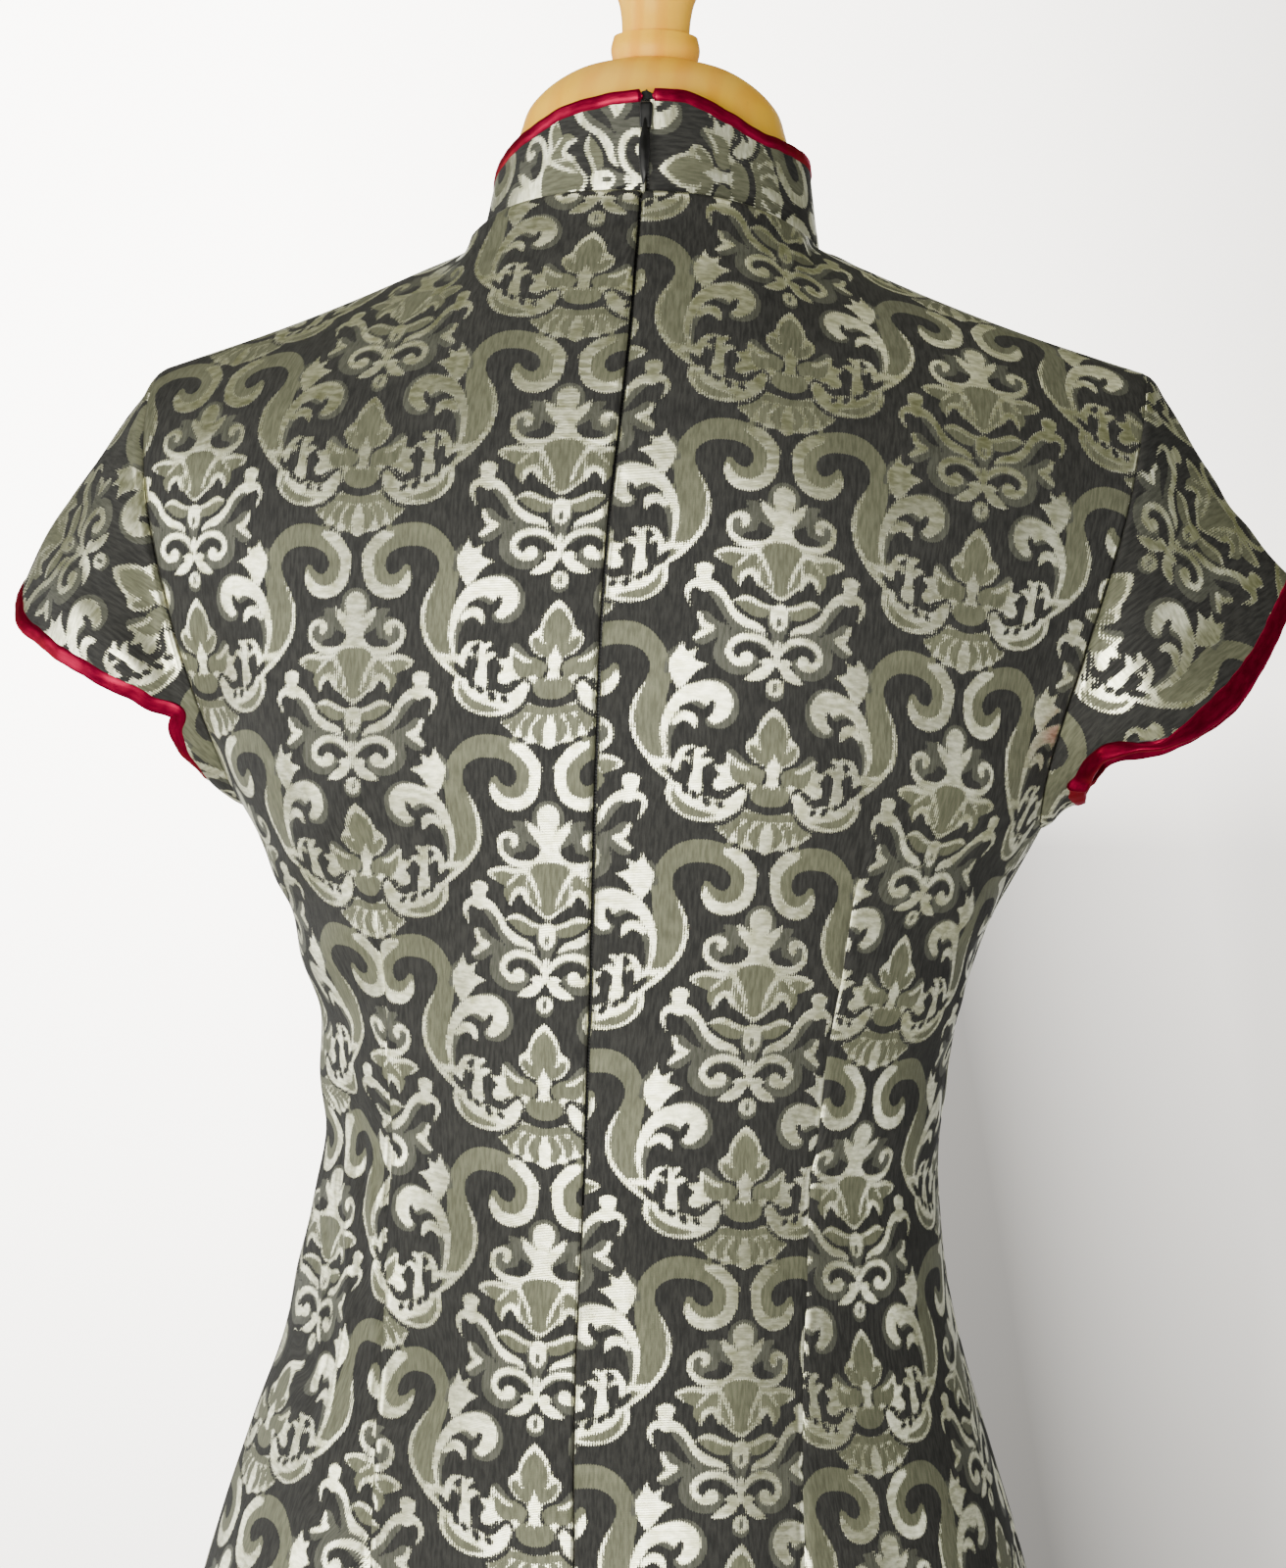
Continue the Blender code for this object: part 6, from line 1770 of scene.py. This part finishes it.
# ---------------------------------------------------------------- zip
def zip_pieces():
    """The tape and its closed coil behind the back seam, then the slider and its tab."""
    wide = np.linspace(-0.5, 0.5, 9) * TAPE_WIDE
    rows, middles = [], []
    for row in body_half(True):
        if row[0].z < ZIP_LOW_Z - 0.02:
            continue
        rate = (on_row(row, 0.05) - row[0]).length / 0.05
        middle = read(BACK_SEAM, row[0].z, 1)
        rows.append([tuple(on_row(row, (middle + x) / rate)) for x in wide])
    left, right = collar_grid(1), collar_grid(-1) * [-1, 1, 1]
    rows = rows[:-1]
    for k in range(COLLAR_ROWS + 1):
        seam = 0.5 * (left[k, 0, 0] + right[k, 0, 0])
        row = []
        for x in wide * 0.55:
            p, q = (left if x > 0 else right)[k, :2]
            row.append(tuple(p + (q - p) * ((seam + x - p[0]) / (q[0] - p[0]))))
        rows.append(row)
    up = np.array(rows[-1]) - np.array(rows[-2])
    up /= np.linalg.norm(up, axis=1, keepdims=True)
    rows.append([tuple(p) for p in np.array(rows[-1]) + up * 0.0042])
    rows = np.array(rows)
    rows[-1, :, 0] = rows[-1, 4, 0] + (rows[-1, :, 0] - rows[-1, 4, 0]) * 0.5
    p = finer(rows, np.linspace(0, len(rows) - 1, 240), np.linspace(0, 8, 13))
    low = np.argmax(p[:, 6, 2] > ZIP_LOW_Z - 0.004)
    p = p[low:]
    n = grid_normals(p, from_axis)
    for _ in range(8):
        n[1:-1] = n[:-2] + 2 * n[1:-1] + n[2:]
        n /= np.linalg.norm(n, axis=2, keepdims=True)
    collar_part = np.clip((p[:, 6, 2] - 1.405) / 0.006, 0, 1)
    p = p - n * (0.0036 - 0.0008 * collar_part)[:, None, None]
    grid, across, n = p[:, 6] + n[:, 6] * 0.003, np.array([1.0, 0.0, 0.0]), n[:, 6]
    up = np.gradient(grid, axis=0)
    up /= np.linalg.norm(up, axis=1, keepdims=True)
    s, t = lengths(p, 1), lengths(p, 0)
    tape = cloth_mesh("zip_tape_woven", [(p, np.stack([s, t], 2) * 1000, from_axis), (p - n[:, None] * 0.0008, np.stack([s, t], 2) * 1000, lambda x: -from_axis(x))])
    tape.data.materials.append(BLACK_TAPE)
    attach(tape, "dressed_form")
    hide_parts("zip_tape")
    # the coil: one small bar for each turn
    bars = []
    run = np.concatenate([[0], np.cumsum(np.linalg.norm(np.diff(grid, axis=0), axis=1))])
    for d in np.arange(0.004, run[-1] - 0.016, 0.0013):
        c = np.array([np.interp(d, run, grid[:, k]) for k in range(3)])
        m = np.array([np.interp(d, run, n[:, k]) for k in range(3)])
        u = np.array([np.interp(d, run, up[:, k]) for k in range(3)])
        bars.append((c - m * 0.0030, m, u))
    verts, faces = [], []
    for c, m, u in bars:
        base_i = len(verts)
        for x, y, w in ((-1, -1, 0.5), (-1, 1, 0.5), (1, 1, 0.5), (1, -1, 0.5), (-1, -1, -0.5), (-1, 1, -0.5), (1, 1, -0.5), (1, -1, -0.5)):
            verts.append(tuple(c + across * x * 0.0018 + m * y * 0.00045 + u * w * 0.0007 + u * x * 0.0002))
        for f in ((0, 1, 2, 3), (7, 6, 5, 4), (0, 4, 5, 1), (1, 5, 6, 2), (2, 6, 7, 3), (3, 7, 4, 0)):
            faces.append([base_i + k for k in f])
    mesh = bpy.data.meshes.new("zip_coil")
    mesh.from_pydata(verts, [], faces)
    bm = bmesh.new()
    bm.from_mesh(mesh)
    bmesh.ops.recalc_face_normals(bm, faces=bm.faces)
    bm.to_mesh(mesh)
    bm.free()
    coil = bpy.data.objects.new("zip_coil", mesh)
    bpy.context.scene.collection.objects.link(coil)
    mesh.materials.append(BLACK_GLOSS)
    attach(coil, "dressed_form")

    low, high = (Vector(c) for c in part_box("zip_slider"))
    centre, size = (low + high) / 2, high - low
    # slider: a small wedge, wider at its top
    profile = ((-0.50, 0.78), (-0.40, 0.90), (-0.15, 0.96), (0.15, 1.0), (0.38, 1.0), (0.50, 0.86))
    bm = bmesh.new()
    rings = []
    for z, w in profile:
        ring = []
        for k in range(24):
            a = 2 * math.pi * k / 24
            cx, cy = math.cos(a), math.sin(a)
            x = math.copysign(abs(cx) ** 0.5, cx) * size.x / 2 * w
            y = math.copysign(abs(cy) ** 0.6, cy) * size.y / 2 * (0.82 + 0.18 * w)
            ring.append(bm.verts.new((centre.x + x, centre.y + y, centre.z + z * size.z)))
        rings.append(ring)
    for a, b in zip(rings, rings[1:]):
        for k in range(24):
            bm.faces.new((a[k], a[(k + 1) % 24], b[(k + 1) % 24], b[k]))
    bm.faces.new(rings[0][::-1])
    bm.faces.new(rings[-1])
    bmesh.ops.recalc_face_normals(bm, faces=bm.faces)
    mesh = bpy.data.meshes.new("zip_slider_body")
    bm.to_mesh(mesh)
    bm.free()
    slider = bpy.data.objects.new("zip_slider_body", mesh)
    bpy.context.scene.collection.objects.link(slider)
    soft = slider.modifiers.new("soft", "BEVEL")
    soft.width, soft.segments, soft.limit_method = 0.0004, 2, "ANGLE"
    mesh.polygons.foreach_set("use_smooth", np.ones(len(mesh.polygons), bool))
    mesh.materials.append(BLACK_GLOSS)
    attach(slider, "dressed_form")
    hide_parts("zip_slider")

    low, high = (Vector(c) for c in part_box("zip_pull"))
    centre, size = (low + high) / 2, high - low
    bm = bmesh.new()
    count = 48
    outline = []
    for k in range(count):
        a = 2 * math.pi * k / count
        down = 0.5 * (1 - math.cos(a))
        w = 0.30 + 0.40 * math.sin(math.pi * min(down * 1.15, 1.0)) ** 1.3 if down < 0.5 else 0.30 + 0.40 * max(math.cos((down - 0.45) * 2.6), 0.0)
        outline.append((math.sin(a) * w, high.z - size.z * down))
    widest = max(abs(x) for x, _ in outline)
    layers = []
    for depth, inset in ((-1.0, 0.80), (-0.62, 0.96), (0.0, 1.0), (0.62, 0.96), (1.0, 0.80)):
        layers.append([bm.verts.new((centre.x + x / widest * size.x / 2 * inset, centre.y + depth * size.y / 2, centre.z + (z - centre.z) * (1 - (1 - inset) * size.x / size.z))) for x, z in outline])
    for a, b in zip(layers, layers[1:]):
        for k in range(count):
            bm.faces.new((a[k], a[(k + 1) % count], b[(k + 1) % count], b[k]))
    bm.faces.new(layers[0][::-1])
    bm.faces.new(layers[-1])
    bmesh.ops.recalc_face_normals(bm, faces=bm.faces)
    mesh = bpy.data.meshes.new("zip_pull_tab")
    bm.to_mesh(mesh)
    bm.free()
    mesh.polygons.foreach_set("use_smooth", np.ones(len(mesh.polygons), bool))
    pull = bpy.data.objects.new("zip_pull_tab", mesh)
    bpy.context.scene.collection.objects.link(pull)
    mesh.materials.append(BLACK_GLOSS)
    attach(pull, "pull_tab")
    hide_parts("zip_pull")
    return tape


# ---------------------------------------------------------------- dress form and stand
def torso():
    """The form under the dress: the CAD's torso with its facets smoothed away."""
    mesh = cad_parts["form_torso"].data.copy()
    mesh.name = "form_torso_jersey"
    bm = bmesh.new()
    bm.from_mesh(mesh)
    bmesh.ops.remove_doubles(bm, verts=bm.verts, dist=1e-5)
    bmesh.ops.join_triangles(bm, faces=bm.faces, angle_face_threshold=0.9, angle_shape_threshold=1.2, cmp_seam=False, cmp_sharp=False, cmp_uvs=False, cmp_vcols=False, cmp_materials=False)
    bm.to_mesh(mesh)
    bm.free()
    for a in list(mesh.attributes):
        if a.name in ("sharp_face", "sharp_edge", "custom_normal"):
            mesh.attributes.remove(a)
    mesh.polygons.foreach_set("use_smooth", np.ones(len(mesh.polygons), bool))
    mesh.materials.clear()
    mesh.materials.append(JERSEY)
    ob = bpy.data.objects.new("form_torso_jersey", mesh)
    bpy.context.scene.collection.objects.link(ob)
    soft = ob.modifiers.new("soft", "SUBSURF")
    soft.levels = soft.render_levels = 2
    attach(ob, "dressed_form")
    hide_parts("form_torso")
    return ob


def turned(name, node_name, parts, centre_y, steps=96):
    """A turned piece: smooth runs of its profile, sharp between them, from its foot up."""
    profile = [(0.0, parts[0][0][1])]
    marks = []
    for part in parts:
        if len(part) > 2:
            line = [tuple(q) for q in curve_through([(r, z) for r, z in part], 6)]
        else:
            line = list(part)
        marks.append(len(profile))
        profile += line
    profile.append((0.0, profile[-1][1]))
    bm = bmesh.new()
    rings = []
    for r, z in profile:
        if r < 1e-6:
            rings.append([bm.verts.new((0.0, centre_y, z))])
        else:
            rings.append([bm.verts.new((r * math.cos(2 * math.pi * k / steps), centre_y + r * math.sin(2 * math.pi * k / steps), z)) for k in range(steps)])
    for a, b in zip(rings, rings[1:]):
        if len(a) == 1 and len(b) == 1:
            continue
        for k in range(steps):
            j = (k + 1) % steps
            if len(a) == 1:
                bm.faces.new((a[0], b[j], b[k]))
            elif len(b) == 1:
                bm.faces.new((a[k], a[j], b[0]))
            else:
                try:
                    bm.faces.new((a[k], a[j], b[j], b[k]))
                except ValueError:
                    pass
    bmesh.ops.remove_doubles(bm, verts=bm.verts, dist=1e-6)
    bmesh.ops.recalc_face_normals(bm, faces=bm.faces)
    for e in bm.edges:
        if len(e.link_faces) == 2 and e.calc_face_angle() > math.radians(32):
            e.smooth = False
    mesh = bpy.data.meshes.new(name)
    bm.to_mesh(mesh)
    bm.free()
    mesh.polygons.foreach_set("use_smooth", np.ones(len(mesh.polygons), bool))
    ob = bpy.data.objects.new(name, mesh)
    bpy.context.scene.collection.objects.link(ob)
    mesh.materials.append(WOOD)
    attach(ob, "dressed_form")
    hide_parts(node_name)
    return ob


def stand():
    c = CAP_PROFILE
    turned("neck_cap_turned", "neck_cap", (((0.0520, 1.4345), (0.0535, 1.4352)), (c[1], c[2], c[3], c[4], c[5], c[6]), (c[7], c[8], c[9]), c[10:]), NECK_Y)
    b = BASE_PROFILE[::-1]
    turned("base_turned", "base", (b[:7], (b[7], b[8])), 0.0, 160)
    turned("pole_turned", "pole", (((POLE_R - 0.0008, 0.0523), (POLE_R, 0.0531)), ((POLE_R, TORSO_LOW_Z - 0.0011), (POLE_R - 0.0008, TORSO_LOW_Z - 0.0003))), 0.0, 64)


back_panel(1)
back_panel(-1)
front_panel()
sleeve(1)
sleeve(-1)
collar(1)
collar(-1)
zip_pieces()
torso()
stand()

# ---------------------------------------------------------------- cloth facts
def flat_facts():
    """Each cloth piece's cut, from its own cloth places: the box of the flat cloth and its area."""
    facts = {}
    for key, (ob, p, uv) in PIECES.items():
        du = uv[:-1, 1:] - uv[:-1, :-1]
        dv = uv[1:, :-1] - uv[:-1, :-1]
        area = np.abs(du[..., 0] * dv[..., 1] - du[..., 1] * dv[..., 0])
        area = area[np.abs(du[..., 0]) < 12].sum() / 1e6
        size = np.ptp(uv.reshape(-1, 2), axis=0) / 1000
        facts[key] = (size, area)
    return facts


# finished flat sizes of the pieces' cuts, with their turned edges: width, length, area
CUTS = {
    # piece: width, length, flat area
    "front": (0.465, 1.015, 0.4170),
    "back_left": (0.248, 1.020, 0.2160),
    "back_right": (0.236, 1.020, 0.2160),
    "sleeve_left": (0.132, 0.382, 0.0205),
    "sleeve_right": (0.134, 0.367, 0.0205),
    "collar_left": (0.040, 0.223, 0.0071),
    "collar_right": (0.045, 0.208, 0.0070),
}
facts = flat_facts()
for key, (width, length, area) in CUTS.items():
    ob = PIECES[key][0]
    extra = list(REVERSES.get(ob.name, []))
    for band, bob in BINDINGS.items():
        if key.split("_")[0] in ("sleeve", "collar") and band.startswith(key.replace("_left", "_binding_left").replace("_right", "_binding_right")):
            extra.append(bob)

# ---------------------------------------------------------------- floor, light
floor_mesh = bpy.data.meshes.new("floor")
bm = bmesh.new()
bmesh.ops.create_circle(bm, cap_ends=True, radius=2.9, segments=96)
bm.to_mesh(floor_mesh)
bm.free()
floor = bpy.data.objects.new("floor", floor_mesh)
bpy.context.scene.collection.objects.link(floor)
m, shader, links, node, math_, mix, ramp, place, noise, bump = material("pale_floor")
soft = noise(place((1.0, 1.0, 1.0)), 2.2, 2.0)
links.new(mix(ramp(soft, 0.3, 0.7), (0.70, 0.70, 0.69), (0.74, 0.74, 0.73)), shader.inputs["Base Color"])
shader.inputs["Roughness"].default_value = 0.9
floor_mesh.materials.append(m)

world = bpy.data.worlds.new("studio")
bpy.context.scene.world = world
world.use_nodes = True
wn, wl = world.node_tree.nodes, world.node_tree.links
background = wn["Background"]
seen = wn.new("ShaderNodeBackground")
seen.inputs[0].default_value = (0.985, 0.945, 0.880, 1.0)
# round the object: a pale room low down and a dim olive one overhead
heading = wn.new("ShaderNodeTexCoord")
parts = wn.new("ShaderNodeSeparateXYZ")
wl.new(heading.outputs["Generated"], parts.inputs[0])


def slope(source, low, high, a, b):
    n = wn.new("ShaderNodeMapRange")
    for k, x in enumerate((low, high, a, b)):
        n.inputs[k + 1].default_value = x
    wl.new(source, n.inputs[0])
    return n.outputs[0]


# painted shade on the wall: it goes a little darker to one side and lower down
painted_wall_falloff = wn.new("ShaderNodeMath")
painted_wall_falloff.operation = "MULTIPLY"
wl.new(slope(parts.outputs[0], -0.02, 0.26, 0.36, 1.0), painted_wall_falloff.inputs[0])
wl.new(slope(parts.outputs[2], -0.24, 0.04, 0.45, 1.0), painted_wall_falloff.inputs[1])
wall = wn.new("ShaderNodeMath")
wall.operation = "MULTIPLY"
wall.inputs[1].default_value = 10.0


def combine(operation, a, b):
    n = wn.new("ShaderNodeMath")
    n.operation = operation
    for k, x in enumerate((a, b)):
        if isinstance(x, float):
            n.inputs[k].default_value = x
        else:
            wl.new(x, n.inputs[k])
    return n.outputs[0]


# a soft painted shadow on the wall, low down beside the skirt, which the dress doesn't cast: its distance from the
# shadow's inner line
line = combine("ADD", combine("MULTIPLY", parts.outputs[2], 0.2), 0.0757)
beside = combine("SUBTRACT", line, parts.outputs[0])
soft_shadow = combine("MAXIMUM", slope(beside, 0.0, 0.075, 0.14, 0.66), slope(beside, -0.09, -0.01, 1.0, 0.0))
where = combine("MULTIPLY", slope(parts.outputs[2], -0.015, 0.03, 1.0, 0.0), slope(parts.outputs[1], -0.9, -0.6, 1.0, 0.0))
shadow = combine("SUBTRACT", 1.0, combine("MULTIPLY", where, combine("SUBTRACT", 1.0, soft_shadow)))
wl.new(combine("MULTIPLY", painted_wall_falloff.outputs[0], shadow), wall.inputs[0])
wl.new(wall.outputs[0], seen.inputs[1])
rise = wn.new("ShaderNodeMapRange")
rise.inputs[1].default_value, rise.inputs[2].default_value = 0.02, 0.42
wl.new(parts.outputs[2], rise.inputs[0])
shade = wn.new("ShaderNodeMix")
shade.data_type = "RGBA"
wl.new(rise.outputs[0], shade.inputs[0])
shade.inputs[6].default_value = (0.86, 0.86, 0.86, 1.0)
shade.inputs[7].default_value = (0.23, 0.24, 0.14, 1.0)
wl.new(shade.outputs[2], background.inputs[0])
background.inputs[1].default_value = 0.62
path = wn.new("ShaderNodeLightPath")
choose = wn.new("ShaderNodeMixShader")
wl.new(path.outputs["Is Camera Ray"], choose.inputs[0])
wl.new(background.outputs[0], choose.inputs[1])
wl.new(seen.outputs[0], choose.inputs[2])
wl.new(choose.outputs[0], wn["World Output"].inputs[0])


def area_light(name, place_at, target, size, power, colour=(1.0, 1.0, 1.0)):
    data = bpy.data.lights.new(name, "AREA")
    data.shape = "RECTANGLE"
    data.size, data.size_y = size
    data.energy = power
    data.color = colour
    ob = bpy.data.objects.new(name, data)
    ob.location = place_at
    ob.rotation_mode = "QUATERNION"
    ob.rotation_quaternion = (Vector(target) - Vector(place_at)).to_track_quat("-Z", "Y")
    bpy.context.scene.collection.objects.link(ob)
    return ob


area_light("key", (0.45, 2.6, 0.86), (0.0, 0.0, 1.04), (1.9, 1.05), 94.0, (1.0, 0.993, 0.930))
area_light("side_left", (2.6, 0.9, 1.3), (0.0, 0.0, 1.1), (1.2, 1.6), 42.0, (1.0, 1.0, 0.960))
area_light("low_left", (2.2, -0.9, 0.9), (0.12, 0.0, 0.98), (1.0, 1.4), 13.0, (1.0, 1.0, 0.960))
area_light("side_right", (-2.6, 0.4, 1.3), (0.0, 0.0, 1.1), (1.2, 1.6), 8.5, (0.97, 0.985, 1.0))
area_light("top", (0.2, -0.2, 3.0), (0.0, 0.0, 1.2), (1.6, 1.6), 17.5, (1.0, 0.98, 0.90))
area_light("front_fill", (0.4, -2.8, 1.6), (0.0, 0.0, 1.1), (2.2, 1.8), 26.0)
